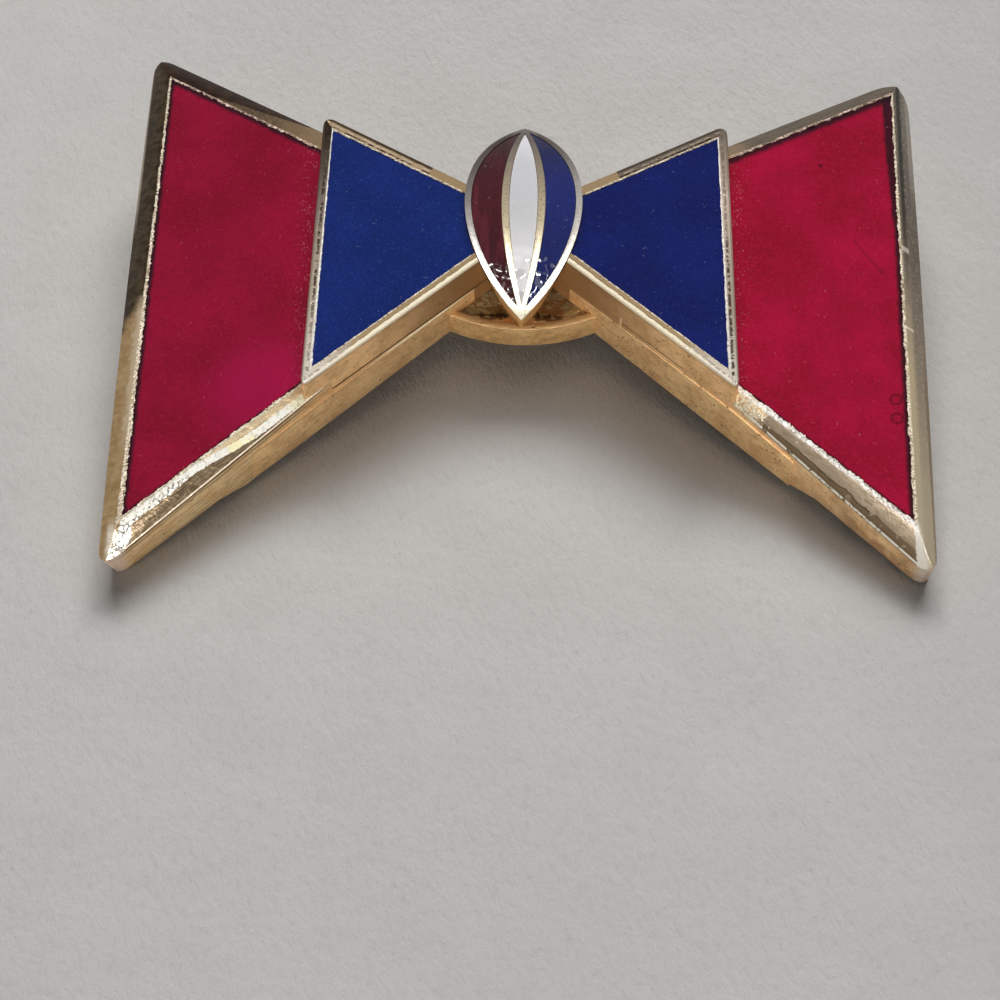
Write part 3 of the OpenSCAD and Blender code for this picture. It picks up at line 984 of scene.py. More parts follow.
def bevels(paint, side):
    """Which bevel a point is on, how deep under them it lies, and the ridge at the point."""
    drops = wing_drops(paint, side)
    corner = red_outline(side)[1 if side == RIGHT else 2]
    left, along = paint.line(corner, ridge_ends[side] + Vector((0, 0, frame_h)))
    from_ridge = left * -side
    on_low = from_ridge.step(-0.03, 0.03) * paint.axes()[1].step(0, -2)
    on_top = (drops["top"] - drops["out"]).step(-0.02, 0.02)
    deepest = drops["low"].most(drops["out"]).most(drops["top"]).most(0.0)
    return on_low, on_top, frame_h - deepest - paint.axes()[2], from_ridge, along

def lengthwise(paint, along, out, size, shift):
    """Fine lines that run along a bevel, as a polishing wheel leaves them."""
    return paint.noise(size, 3, 0.65, shift, paint.vector(along * 0.1, out, 0.0))

def torn(paint, size, shift):
    """Cells with crooked sides, for metal that broke up: 1 inside, 0 in the cracks."""
    bent = paint.node("ShaderNodeVectorMath", {"operation": "MULTIPLY_ADD"},
                      {0: paint.noise(size, 3, 0.6, shift, output=1), 1: (size,) * 3, 2: paint.bench()})
    return paint.cells(bent, size, "DISTANCE_TO_EDGE").step(0.02, 0.12)

# %% [markdown]
# The left wing. Its lower bevel carries bands of painted reflection, a khaki band, a bright streak and a
# brown band, with a fine painted highlight at the crease. The streak is painted highlight: along the bevel
# it climbs to the enamel and breaks up into white pebbles. The outer bevel is painted nearly black above and
# tan below, as painted reflection.

# %% Left wing
white_highlight = (1.0, 0.98, 0.9)

def left_low_bevel(paint, wave, fine, from_ridge, ridge_along):
    """Colour of the lower bevel, and where it is torn up."""
    out, along = beside(paint, LEFT, "low")
    lines = lengthwise(paint, along, out, 0.07, 3.0)
    # painted reflection: a khaki band above the streak and a brown band below it
    khaki = paint.mix(lines.step(0.35, 0.65), (0.56, 0.43, 0.26), (0.74, 0.58, 0.38))
    brown = paint.mix(lines.step(0.35, 0.65), (0.065, 0.045, 0.026), (0.19, 0.14, 0.09))
    middle = 0.82 - along.step(4.0, 10.0) * 0.53 + wave * 0.12
    half = 0.24 + along.step(8.5, 12.0) * 0.15
    colour = paint.mix((out - middle).step(-0.05, 0.05), khaki, brown)
    teeth = paint.noise(0.09, 2, 0.6, 7.0, paint.vector(along, out * 0.25, 0.0))
    colour.cover(out.step(0.34, 0.1) * teeth.step(0.46, 0.56) * 0.7, (1.0, 0.86, 0.66))
    seam = (out - middle + 0.25 + wave * 0.2).band(0.0, 0.06) * along.step(3.0, 3.6) * along.step(6.6, 6.0)
    colour.cover(seam * 0.8, (0.16, 0.11, 0.04))
    colour.cover((out - middle - half).band(0.03, 0.07) * 0.75, (0.12, 0.075, 0.032))
    # painted highlight: the bright streak, yellow near the block, breaking into white pebbles along the
    # bevel
    yellow = (along + wave * 3.0).band(5.6, 1.2).most(along.step(2.2, 1.2) * 0.8)
    bright = paint.mix(yellow, white_highlight, (1.0, 0.94, 0.6))
    inside = (abs(out - middle + (fine - 0.5) * 0.22) - half).step(0.03, -0.03)
    cells = torn(paint, 0.42, 4.0)
    cracks = (1.0 - cells) * (fine + wave).step(0.46, 0.72)
    streak = inside * (1.0 - cracks * along.step(8.0, 10.5))
    colour.cover(streak, bright)
    # painted highlight: white along the ridge at the point
    ridge = (from_ridge + (fine - 0.5) * 0.5 + wave * 0.3).step(0.8, 0.65) * ridge_along.step(-0.8, -0.2)
    ridge = ridge * (ridge_along * 0.18 + from_ridge).step(1.1, 0.9) * (out.step(-0.1, 0.05))
    colour.cover(ridge * (1.0 - cracks * 0.8), white_highlight)
    ring = (paint.near(-21.9, -23.3, 0.55) - paint.near(-21.9, -23.3, 0.4)) * 0.5
    colour.cover(ring, (0.75, 0.62, 0.46))
    # painted highlight: a fine bright line along the crease
    edge = crease_distance(paint, LEFT, "low")
    colour.cover(edge.band(0.06, 0.06) * 0.7, (0.85, 0.72, 0.58))
    return colour, cracks * inside.most(ridge)

def left_out_bevel(paint, wave, fine):
    """Colour of the outer bevel, painted reflection: tan below, nearly black above; a painted highlight
    makes it white at the point.
    """
    x, y, z = paint.axes()
    out, along = beside(paint, LEFT, "out")
    # painted reflection: tan below, nearly black above
    upper = (y + wave * 2.5 + out * 1.6).step(-6.9, -5.2)
    smear = paint.noise(0.5, 3, 0.6, 8.0, stretch=(0.35, 1, 1))
    tan = paint.mix(smear.step(0.35, 0.7), (0.48, 0.315, 0.145), (0.66, 0.46, 0.25))
    cream = (out + (smear - 0.5) * 1.4).step(0.75, 0.35)
    tan.cover(cream * y.step(-19.0, -15.0) * 0.8, (0.85, 0.7, 0.5))
    black = paint.mix(smear.step(0.4, 0.65), (0.06, 0.042, 0.026), (0.11, 0.083, 0.052))
    brown = (out + wave * 0.2).band(0.42, 0.12) * smear.step(0.4, 0.6)
    black.cover(brown * 0.7, (0.15, 0.085, 0.045))
    # painted highlight: a pale thin line along the crease
    rim = crease_distance(paint, LEFT, "out").step(0.08, -0.04)
    black.cover(rim * (y + wave * 6.0).step(-2.0, 3.0) * 0.8, (0.62, 0.52, 0.42))
    colour = paint.mix(upper, tan, black)
    # painted highlight: a white patch at the point
    patch = abs(x + 24.5 + wave * 0.3).step(0.45, 0.15) * abs(y + 23.6 + wave).step(1.8, 0.5)
    colour.cover(patch * (0.2 + smear), (1.0, 0.93, 0.8))
    gap = (x + 24.05 + wave * 0.1).band(0.0, 0.1) * y.step(-22.4, -23.0)
    return paint.mix(gap * 0.8, colour, (0.1, 0.07, 0.04))

def left_wing_metal():
    """The whole finish of the left wing."""
    paint = Paint("left_wing_metal")
    x, y, z = paint.axes()
    on_low, on_top, depth, from_ridge, ridge_along = bevels(paint, LEFT)
    wave = paint.noise(0.9, 3, 0.6, 2.0) - 0.5
    fine = paint.noise(0.16, 3, 0.7, 5.0)
    low, cracks = left_low_bevel(paint, wave, fine, from_ridge, ridge_along)
    out = left_out_bevel(paint, wave, fine)
    top_out, top_along = beside(paint, LEFT, "top")
    rub = ((9.4 - top_along) * 0.2 - top_out + wave * 0.3).step(-0.05, 0.07)
    warm = paint.mix((top_along + wave * 3.0).step(5.5, 1.0), (0.17, 0.115, 0.065), (0.42, 0.285, 0.165))
    warm.cover(fine.step(0.5, 0.62) * 0.4, (0.62, 0.46, 0.3))
    # painted reflection: the upper bevel is nearly black away from the enamel and the block
    dark = paint.mix(wave.step(-0.1, 0.15), (0.038, 0.018, 0.011), (0.078, 0.036, 0.022))
    top = paint.mix(rub, dark, warm)
    colour = paint.mix(on_low, paint.mix(on_top, out, top), low)
    colour.cover(fine.step(0.58, 0.7) * 0.3, (0.16, 0.1, 0.05))
    wall, rough_wall = cast_wall(paint, (1.0, 0.76, 0.42), (0.92, 0.58, 0.28), 0.3, 1.0)
    streaks = lengthwise(paint, x, z * 2.5, 0.4, 9.0)
    wall.cover(streaks.step(0.45, 0.6) * 0.5, (0.42, 0.24, 0.1))
    # painted shade: dark bands on the wall under the crease
    under = depth.band(0.14, 0.15).most(depth.band(0.5, 0.12) * 0.8) * x.step(-12, -14)
    wall.cover(under * (0.6 + streaks * 0.4), (0.13, 0.065, 0.022))
    # painted highlight: a bright line low on the wall near the point
    gleam = (depth + wave * 0.2).band(0.95, 0.14) * x.step(-19.0, -21.0)
    wall.cover(gleam * 0.6, (1.0, 0.75, 0.45))
    wall.cover(paint.near(-24.6, -24.6, 1.5) * 0.8, (0.74, 0.58, 0.49))
    is_wall = depth.step(0.04, 0.09)
    smooth = wave * 1.2 + fine * 0.4 - cracks * 1.2
    return paint.half_polished(is_wall, colour, smooth, wall, rough_wall, 0.24, fine)

# %% [markdown]
# The right wing. Its lower bevel is khaki grey with a wandering dark line, a gold patch
# beside the block and bright beads of painted highlight on the crease. The ridge at the point is painted
# white as a highlight, and the outer bevel goes from grey above to pale khaki below, as painted reflection.

# %% Right wing
def right_low_bevel(paint, wave, fine, from_ridge, ridge_along):
    """Colour of the lower bevel, and where it is crumbly."""
    out, along = beside(paint, RIGHT, "low")
    edge = crease_distance(paint, RIGHT, "low")
    lines = lengthwise(paint, along, out, 0.09, 13.0)
    down = out / (out + edge).most(0.01)
    grey = paint.mix(lines.step(0.35, 0.65), (0.39, 0.3, 0.205), (0.53, 0.42, 0.3))
    colour = paint.mix((down + wave * 0.2).step(0.64, 0.72), grey, (0.25, 0.175, 0.105))
    line = (down + wave * 0.4).band(0.68, 0.035) * along.step(3.6, 4.6) * along.step(13.2, 12.0)
    colour.cover(line * 0.85, (0.1, 0.07, 0.035))
    pale = (out + (fine - 0.5) * 0.4).step(0.42, 0.2)
    colour.cover(pale * 0.7, (0.72, 0.58, 0.48))
    blotch = paint.noise(0.6, 2, 0.5, 21.0).step(0.58, 0.63) * along.step(8.5, 10.5)
    colour.cover(blotch * 0.5, (0.66, 0.52, 0.38))
    dot = paint.pits(0.3, 0.3, 27.0) * along.step(6.5, 5.5)
    colour.cover(dot * 0.8, (1.0, 0.88, 0.66))
    crumb = paint.noise(0.2, 3, 0.75, 31.0)
    gold = (along + wave * 1.2 + (fine - 0.5)).step(2.9, 2.2)
    crumbs = paint.mix(crumb.step(0.42, 0.56), (0.7, 0.46, 0.22), (1.0, 0.92, 0.7))
    colour.cover(gold, crumbs)
    # painted highlight: bright glints along the crease
    painted_crease_glint = edge.band(0.07, 0.08) * paint.noise(0.3, 2, 0.6, 33.0).step(0.34, 0.46)
    colour.cover(edge.band(0.18, 0.08) * 0.4, (0.15, 0.1, 0.05))
    colour.cover(painted_crease_glint * along.step(1.5, 2.6), (1.0, 0.95, 0.82))
    # painted highlight: white along the ridge at the point
    ridge = (from_ridge + (fine - 0.5) * 0.35).step(0.12, 0.0) * ridge_along.step(-0.3, 0.1)
    return paint.mix(ridge, colour, (1.0, 0.96, 0.9)), gold * crumb

def right_out_bevel(paint, wave, fine, from_ridge, ridge_along):
    """Colour of the outer bevel, a painted reflection from khaki below to grey above."""
    x, y, z = paint.axes()
    out, along = beside(paint, RIGHT, "out")
    # painted reflection: khaki below, grey above
    grade = (y + wave * 2.0 + 22.0) / 33.0
    near = paint.ramp(grade, (0.05, (0.72, 0.62, 0.44)), (0.35, (0.74, 0.61, 0.4)),
                      (0.52, (0.45, 0.36, 0.27)), (0.66, (0.22, 0.18, 0.145)), (0.9, (0.2, 0.175, 0.145)))
    far = paint.ramp(grade, (0.05, (0.66, 0.56, 0.4)), (0.4, (0.36, 0.285, 0.22)),
                     (0.6, (0.22, 0.18, 0.14)), (0.8, (0.21, 0.185, 0.16)), (0.95, (0.3, 0.27, 0.23)))
    grain = paint.noise(0.2, 3, 0.7, 17.0, stretch=(0.4, 1, 1))
    colour = paint.mix((out + (grain - 0.5) * 0.8).step(0.45, 0.75), near, far)
    colour.cover(grain.step(0.5, 0.66) * 0.35, (0.8, 0.68, 0.48))
    grime = (out + (grain - 0.5) * 0.25).band(0.42, 0.22) * (y + wave * 3.0).step(-8.0, 3.0)
    colour.cover(grime * 0.9, (0.035, 0.032, 0.022))
    tick = y.band(-1.6, 0.3).most(y.band(-7.6, 0.16)) * abs(out - 0.35).step(0.35, 0.25)
    colour.cover(tick * 0.8, (0.9, 0.8, 0.66))
    rim = crease_distance(paint, RIGHT, "out")
    pale = rim.step(0.34, 0.16) * (y + wave * 4.0).step(1.0, 6.0)
    colour.cover(pale * 0.7, (0.6, 0.54, 0.47))
    colour.cover((rim + (grain - 0.5) * 0.2).step(0.12, 0.04) * y.step(-6.0, -14.0) * 0.6,
                 (0.25, 0.16, 0.09))
    # painted highlight: white beside the ridge at the point
    white = (from_ridge + 0.3 + ridge_along * 0.12 + (fine - 0.5) * 0.2).step(-0.1, 0.25)
    return paint.mix(white * ridge_along.step(-0.3, 0.3) * 0.9, colour, (1.0, 0.95, 0.86))

def right_wing_metal():
    """The whole finish of the right wing."""
    paint = Paint("right_wing_metal")
    x, y, z = paint.axes()
    on_low, on_top, depth, from_ridge, ridge_along = bevels(paint, RIGHT)
    wave = paint.noise(1.3, 3, 0.6, 12.0) - 0.5
    fine = paint.noise(0.16, 3, 0.7, 15.0)
    low, crumbs = right_low_bevel(paint, wave, fine, from_ridge, ridge_along)
    out = right_out_bevel(paint, wave, fine, from_ridge, ridge_along)
    top_out, top_along = beside(paint, RIGHT, "top")
    grain = lengthwise(paint, top_along, top_out, 0.12, 19.0)
    # painted reflection: the upper bevel is grey
    top = paint.mix(grain.step(0.35, 0.65), (0.2, 0.16, 0.115), (0.31, 0.25, 0.19))
    top.cover((top_along + wave * 2.0).step(2.4, 0.8) * 0.7, (0.6, 0.42, 0.26))
    colour = paint.mix(on_low, paint.mix(on_top, out, top), low)
    colour.cover(fine.step(0.6, 0.72) * 0.3, (0.14, 0.1, 0.06))
    wall, rough_wall = cast_wall(paint, (1.0, 0.7, 0.39), (0.88, 0.54, 0.26), 0.3, 11.0)
    brown = x.step(17.5, 21.0) * (wave + depth * 0.12).step(-0.05, 0.3)
    wall.cover(brown * 0.7, (0.34, 0.16, 0.055))
    wall.cover(paint.near(24.6, -24.6, 1.4) * 0.85, (0.5, 0.46, 0.42))
    is_wall = depth.step(0.04, 0.09)
    smooth = wave + fine * 0.5 + crumbs * 2.0
    return paint.half_polished(is_wall, colour, smooth, wall, rough_wall, 0.26, fine)

# %% [markdown]
# The blocks' frames. The outer band of each is silvery below and dark at the top; beside the
# ragged lip it is pitted. The lower band is two-toned: khaki inside and bright cream at the edge,
# with a boundary that wanders. Everything under it is wall.

# %% Blocks
def block_frame(paint, side, gaps, wave, fine, shift):
    """Colour of the frame round the blue enamel, and how deep its pits are."""
    x, y, z = paint.axes()
    if side == LEFT:
        out = paint.ramp((y + wave * 2.0 + 14.0) / 21.0, (0.1, (0.78, 0.7, 0.6)), (0.4, (0.66, 0.56, 0.44)),
                         (0.62, (0.44, 0.37, 0.31)), (0.8, (0.15, 0.12, 0.095)),
                         (0.92, (0.05, 0.038, 0.028)))
        top = paint.mix((gaps["top"] + wave * 0.2).step(0.38, 0.5), (0.7, 0.52, 0.34), (0.12, 0.08, 0.05))
        chain = (y + wave * 3.0).step(3.5, 0.5) * (y + wave * 3.0).step(-9.5, -6.5)
    else:
        out = paint.ramp((y + wave * 2.0 + 14.0) / 21.0, (0.1, (0.75, 0.69, 0.6)), (0.3, (0.62, 0.52, 0.42)),
                         (0.7, (0.84, 0.68, 0.57)), (0.95, (0.34, 0.28, 0.23)))
        top = paint.mix((gaps["top"] + wave * 0.2).step(0.4, 0.52), (0.29, 0.235, 0.19), (0.13, 0.1, 0.078))
        chain = (y + wave * 3.0).step(-1.5, -4.0)
    line = (gaps["out"] + wave * 0.05).band(0.5, 0.05)
    out.cover(line * 0.55, (0.2, 0.15, 0.1))
    out.cover((gaps["out"] + wave * 0.05).step(0.54, 0.6) * 0.7, (0.16, 0.115, 0.08))
    beads = paint.noise(0.2, 2, 0.6, shift + 6, stretch=(0.7, 1, 1)).step(0.44, 0.53)
    ditch = (gaps["out"] + wave * 0.08).band(0.24, 0.12) * beads * (0.55 + chain * 0.45)
    out.cover(ditch * 0.92, (0.07, 0.05, 0.03))
    split = gaps["low"] + wave * 0.22
    low = paint.mix(split.step(0.3, 0.36), (0.58, 0.42, 0.24), (1.0, 0.9, 0.68))
    low.cover(split.band(0.3, 0.04) * 0.6, (0.22, 0.14, 0.07))
    worn = (x * side + wave * 3.0).step(9.5, 12.5)
    low.cover(worn * 0.85, (0.86, 0.79, 0.7))
    low.cover(worn * beads * split.band(0.36, 0.1) * 0.6, (0.3, 0.22, 0.16))
    row = (gaps["top"] + wave * 0.1).band(0.14, 0.1) * beads
    top.cover(row * 0.9, (0.05, 0.03, 0.015))
    top.cover((gaps["top"] + wave * 0.1).band(0.3, 0.07) * beads * 0.7, (0.9, 0.76, 0.55))
    on_low = (gaps["low"] - gaps["out"]).step(-0.03, 0.03)
    on_top = (gaps["top"] - gaps["out"]).step(-0.03, 0.03)
    colour = paint.mix(on_low, paint.mix(on_top, out, top), low)
    return paint.mix(fine.step(0.56, 0.7) * 0.3, colour, (0.2, 0.14, 0.09)), ditch

def block_metal(side):
    """A block's frame and its wall, with the long crack in it."""
    paint = Paint(hand[side] + "_block_metal")
    x, y, z = paint.axes()
    gaps = {}
    for which in edges:
        left, along = paint.line(*outline_edge(blue_outline(side), side, which))
        gaps[which] = -left
    shift = 40.0 + side * 3
    wave = paint.noise(0.6, 3, 0.6, shift) - 0.5
    fine = paint.noise(0.15, 3, 0.7, shift + 2)
    colour, ditch = block_frame(paint, side, gaps, wave, fine, shift)
    wall, rough_wall = cast_wall(paint, (0.95, 0.6, 0.3), (0.72, 0.43, 0.19), 0.3 + 0.15 * side, shift)
    # darker towards the hub: brown tarnish together with painted shade
    wall.cover((x * side).step(10.5, 3.5) * 0.9, (0.25, 0.125, 0.042))
    depth = block_h - z
    under = depth.band(0.26, 0.14) * (0.4 + 0.6 * wave.step(-0.1, 0.1))
    wall.cover(under * 0.5, (0.2, 0.1, 0.035))
    seam_wave = wave * 0.14
    if side == RIGHT:
        seam = (z + seam_wave).band(3.35, 0.09) * x.step(6.2, 6.5) * x.step(10.6, 10.0)
        wall.cover(seam * 0.85, (0.12, 0.06, 0.02))
        wall.cover((x + seam_wave).band(6.3, 0.1) * z.step(4.2, 3.6) * 0.6, (0.95, 0.7, 0.4))
    else:
        wall.cover((z + seam_wave).band(3.02, 0.17) * 0.9, (0.1, 0.05, 0.018))
    is_wall = depth.step(0.13, 0.2)
    smooth = wave * 0.5 + fine * 0.5 - ditch * 1.5
    return paint.half_polished(is_wall, colour, smooth, wall, rough_wall, 0.28, fine)

# %% [markdown]
# The hub, the skirts and the pin. The hub's hollow was never cleaned: it is brown and
# rough, with a wet-looking shine where the solder ran, and painted shadow lies in it under the knot.

# %% Hub, skirts and pin
def hub_metal():
    """The hub: cast metal round a hollow where solder ran."""
    paint = Paint("hub_metal")
    x, y, z = paint.axes()
    wall, relief = cast_wall(paint, (0.95, 0.62, 0.28), (0.7, 0.4, 0.16), 0.3, 60.0)
    flow = paint.noise(0.6, 3, 0.65, 61.0)
    hollow = z.step(hub_h - 0.06, hub_h - 0.26) * (y - x * x * 0.045).step(-6.6, -6.2)
    # painted shadow: two dark slots under the sides of the knot's lower end
    slot = abs(abs(x) - 1.75 + (flow - 0.5) * 0.8).step(1.0, 0.75)
    slot = slot * (y + (flow - 0.5) * 1.6 + abs(x) * 0.1).band(-5.6, 0.32)
    pool = paint.mix(flow.step(0.4, 0.55), (0.85, 0.5, 0.2), (1.0, 0.82, 0.46))
    pool.cover(slot * 0.9, (0.09, 0.04, 0.012))
    bright = z.step(hub_h - 0.5, hub_h - 0.1) * flow.step(0.42, 0.58) * (1.0 - hollow)
    wall.cover(bright * 0.25, (1.0, 0.8, 0.46))
    wall.cover(z.step(hub_h - 0.12, hub_h - 0.03) * 0.75, (0.42, 0.25, 0.1))
    return paint.set(Base_Color=paint.mix(hollow, wall, pool), Metallic=0.5 - hollow * 0.3,
                     Roughness=0.46 - hollow * 0.1, Normal=paint.bump(relief + flow * hollow * 3.0, 0.06))

def skirt_metal(side):
    """The lower wall; on the left its ledge carries a painted highlight."""
    paint = Paint(hand[side] + "_skirt_metal")
    x, y, z = paint.axes()
    wall, relief = cast_wall(paint, (1.0, 0.68, 0.34), (0.8, 0.48, 0.22), 0.4 + 0.15 * side, 70.0 + side)
    if side == LEFT:
        # painted highlight: the ledge is bright, most towards its outer end
        ledge = z.step(skirt_h - 0.12, skirt_h - 0.05)
        gleam = (-x).step(10.5, 5.0)
        wall.cover(ledge, paint.mix(gleam, (0.5, 0.3, 0.13), (1.0, 0.84, 0.56)))
    return paint.set(Base_Color=wall, Metallic=0.45, Roughness=0.48, Normal=paint.bump(relief, 0.05))

def steel_wire():
    """Drawn wire of the pin."""
    paint = Paint("pin_steel")
    draw = paint.noise(0.3, 3, 0.6, 80.0)
    colour = paint.mix(draw.step(0.35, 0.7), (0.5, 0.49, 0.46), (0.66, 0.65, 0.62))
    return paint.set(Base_Color=colour, Metallic=1.0, Roughness=0.26 + draw * 0.15,
                     Normal=paint.bump(draw, 0.01))

# %% [markdown]
# The ragged lips. Each is scraped white metal or cream gilding, broken by fine dark cuts
# that run across it, as a file leaves them. The lips along the upper edges of the wings are
# duller, because those edges were hardly ground.

# %% Lip metal
def lip_metal(name, bright, dull, shift, share=0.5):
    """Scraped metal; share is how much of it stayed dull."""
    paint = Paint(name)
    x, y, z = paint.axes()
    cuts = paint.noise(0.11, 3, 0.7, shift, stretch=(0.45, 1, 0.5))
    patch = paint.noise(0.6, 3, 0.6, shift + 3)
    low = 0.3 + share * 0.16
    colour = paint.mix(cuts.step(low, low + 0.14), dull, bright)
    colour.cover(patch.step(0.5, 0.62) * share * 0.7, dull)
    colour.cover(cuts.step(0.36, 0.28) * 0.8, (0.08, 0.05, 0.03))
    return paint.set(Base_Color=colour, Metallic=0.25, Roughness=0.36, Normal=paint.bump(cuts, 0.05))

# %% [markdown]
# The knot's setting is plated white metal. Its rim and dividers are painted dark where they face the back
# and bright in front, as painted reflection; the rim is scratched in front, and its sides under the rim are
# gold like the walls.

# %% Knot metal
def knot_metal():
    """The knot's rim and dividers above, cast gold under them."""
    paint = Paint("knot_metal")
    x, y, z = paint.axes()
    under = knot_h - arch_r + (arch_r * arch_r - (y * y)) ** 0.5 - z
    wave = paint.noise(0.8, 3, 0.6, 90.0) - 0.5
    fine = paint.noise(0.14, 3, 0.7, 91.0)
    # painted reflection: the rim and the dividers are bright in front and dark at the back
    high = (y - x * 0.45 + wave * 2.0 + 7.5) / 15.0
    rim = paint.ramp(high, (0.02, (1.0, 0.98, 0.94)), (0.12, (0.72, 0.68, 0.62)), (0.3, (0.88, 0.85, 0.81)),
                     (0.48, (0.7, 0.66, 0.64)), (0.66, (0.36, 0.32, 0.31)), (0.9, (0.12, 0.09, 0.09)))
    bars = paint.ramp((y + wave * 1.5 + 7.5) / 15.0, (0.0, (1.0, 0.95, 0.76)), (0.25, (0.95, 0.85, 0.6)),
                      (0.5, (0.8, 0.68, 0.48)), (0.7, (0.5, 0.43, 0.34)), (0.9, (0.26, 0.22, 0.2)))
    c = (white_half_l ** 2 - white_half_w ** 2) / (2 * white_half_w)
    off = ((abs(x) + c) * (abs(x) + c) + y * y) ** 0.5 - (c + white_half_w)
    colour = paint.mix(off.step(divider_w + 0.35, divider_w + 0.15), rim, bars)
    colour.cover(fine.step(0.52, 0.64) * 0.55, (0.3, 0.25, 0.2))
    side = under.step(0.1, 0.25)
    gold, relief = cast_wall(paint, (0.95, 0.6, 0.26), (0.66, 0.36, 0.13), 0.2, 95.0)
    colour.cover(side, gold)
    return paint.set(Base_Color=colour, Metallic=1.0 - side * 0.5,
                     Roughness=0.24 + side * 0.2 + fine * 0.12,
                     Normal=paint.bump(wave * 0.8 + fine * 0.4 + relief * side, 0.03))

# %% [markdown]
# Enamel is coloured glass with a smooth but not quite flat face. It holds a few pale
# grains, it is cloudy in places, and along the metal's edge it is painted dark as painted shade. The
# right red has two ring marks, a dark dot and a faint scratch.

# %% Enamel
def enamel(paint, deep, light, shift, grainy=0.3):
    """Base colour of glass enamel and its grain."""
    cloud = paint.noise(4.5, 3, 0.55, shift)
    grain = paint.noise(0.2, 3, 0.7, shift + 5)
    colour = paint.mix(cloud.step(0.3, 0.7), deep, light)
    colour.cover(grain.step(0.5, 0.72) * grainy, shade(light, 1.6, 0.003))
    colour.cover(grain.step(0.48, 0.3) * grainy, shade(deep, 0.5))
    return colour, grain

def dust_on(paint, colour, shift, share, tone):
    """Pale grains in two sizes."""
    grains = paint.pits(0.16, share, shift).most(paint.pits(0.096, share, shift + 7) * 0.7)
    return paint.mix(grains * 0.4, colour, tone)

def flat_glass(paint, colour, grain, size, shift, haze):
    """The finish of a flat field of enamel, with waves of a size."""
    wave = paint.noise(size, 2, 0.5, shift + 13)
    return paint.set(Base_Color=colour, Roughness=0.1 + grain * haze, Specular_IOR_Level=0.17,
                     Normal=paint.bump(wave + grain * 0.02, 0.02))

def red_enamel(side):
    """Red glass with painted shade along the metal; each side has its own marks."""
    paint = Paint(hand[side] + "_red_enamel")
    x, y, z = paint.axes()
    shift = 100.0 + 9 * side
    tones = {LEFT: ((0.2, 0.0009, 0.018), (0.265, 0.0014, 0.03)),
             RIGHT: ((0.26, 0.0008, 0.02), (0.37, 0.0012, 0.036))}[side]
    colour, grain = enamel(paint, *tones, shift)
    soft = (paint.noise(0.7, 3, 0.65, shift + 20) - 0.5) * 0.3
    inner = {}
    for which in edges:
        out, along = beside(paint, side, which)
        inner[which] = soft - out
    # how far the painted shade along the metal's edge reaches in from each side
    edge_shade_reach = {LEFT: {"low": 0.14, "out": 0.28, "top": 0.34},
             RIGHT: {"low": 0.16, "out": 0.3, "top": 0.42}}[side]
    if side == LEFT:
        # painted sheen: a paler patch on the left red
        painted_sheen = paint.near(-16.0, -13.0, 5.0)
        colour.cover(painted_sheen * 0.6, (0.36, 0.002, 0.06))
    else:
        diagonal = ((x - 13.5) * 0.67 + (y + 12.4) * 0.74 + soft * 3.0).step(6.6, 4.4)
        colour.cover(diagonal * (y + x * 0.5).step(-8.0, -11.0) * 0.45, (0.15, 0.0005, 0.012))
        # the painted shade is wider at the top of the outer edge
        inner["out"] = inner["out"] - y.step(-2.0, 9.0) * 0.35
    for which in edges:
        # painted shade along the metal's edge
        far = edge_shade_reach[which]
        colour.cover(inner[which].step(far * 1.5, far * 0.5) * 0.92, (0.016, 0.003, 0.009))
    if side == RIGHT:
        for bubble_y in (-12.85, -14.2):
            ring = paint.distance(23.35, bubble_y).band(0.34, 0.12)
            colour.cover(ring * 0.7, (0.1, 0.0, 0.008))
        colour.cover(paint.near(19.35, 4.75, 0.18) * 0.85, (0.04, 0.0, 0.008))
        left, along = paint.line(Vector((21.2, -1.0, 0)), Vector((23.3, -4.0, 0)))
        scratch = left.band(0.0, 0.1) * along.step(0.0, 0.3) * along.step(3.7, 3.2)
        colour.cover(scratch * 0.35, (0.08, 0.0, 0.01))
    colour = dust_on(paint, colour, shift + 2, 0.1, (0.5, 0.2, 0.22))
    near_block = (x * side).step(15.0, 13.4)
    colour.cover(near_block * paint.pits(0.14, 0.6, shift + 30) * 0.4, (0.7, 0.42, 0.42))
    return flat_glass(paint, colour, grain, 3.0, shift, 0.08)

def navy_enamel(name, deep, light, shift):
    """Dark blue glass with pale grains."""
    paint = Paint(name)
    colour, grain = enamel(paint, deep, light, shift, 0.4)
    colour = dust_on(paint, colour, shift, 0.16, (0.2, 0.26, 0.42))
    return flat_glass(paint, colour, grain, 2.5, shift, 0.1)

def knot_enamel(name, deep, light, shift, streak=0.0, painted_light_tone=None):
    """The knot's enamel: it ripples at its lower end, where it pooled. The white is painted lighter towards
    its lower end and the others darker towards their upper end, as painted light and shade.
    """
    paint = Paint(name)
    x, y, z = paint.axes()
    colour, grain = enamel(paint, deep, light, shift, 0.08 if painted_light_tone else 0.3)
    streaks = paint.noise(0.5, 3, 0.6, shift + 3, stretch=(1, 0.12, 0.12))
    colour.cover(streaks.step(0.45, 0.6) * streak, shade(light, 2.2, 0.008))
    if painted_light_tone is not None:
        # painted light: the white grows lighter towards its lower end
        colour.cover(y.step(0.0, -5.0), painted_light_tone)
    else:
        # painted shade: darker towards the upper end
        colour.cover(y.step(0.0, 5.5) * 0.75, shade(deep, 0.25))
    colour = dust_on(paint, colour, shift, 0.1, (0.5, 0.45, 0.45))
    curl = paint.noise(0.85, 1, 0.3, shift + 9) * y.step(-3.1, -4.4)
    return paint.set(Base_Color=colour, Roughness=0.05 + grain * 0.05, Specular_IOR_Level=0.35,
                     Normal=paint.bump(curl * 4.0 + grain * 0.02, 0.09))

# %% [markdown]
# Each piece gets the material made for it.

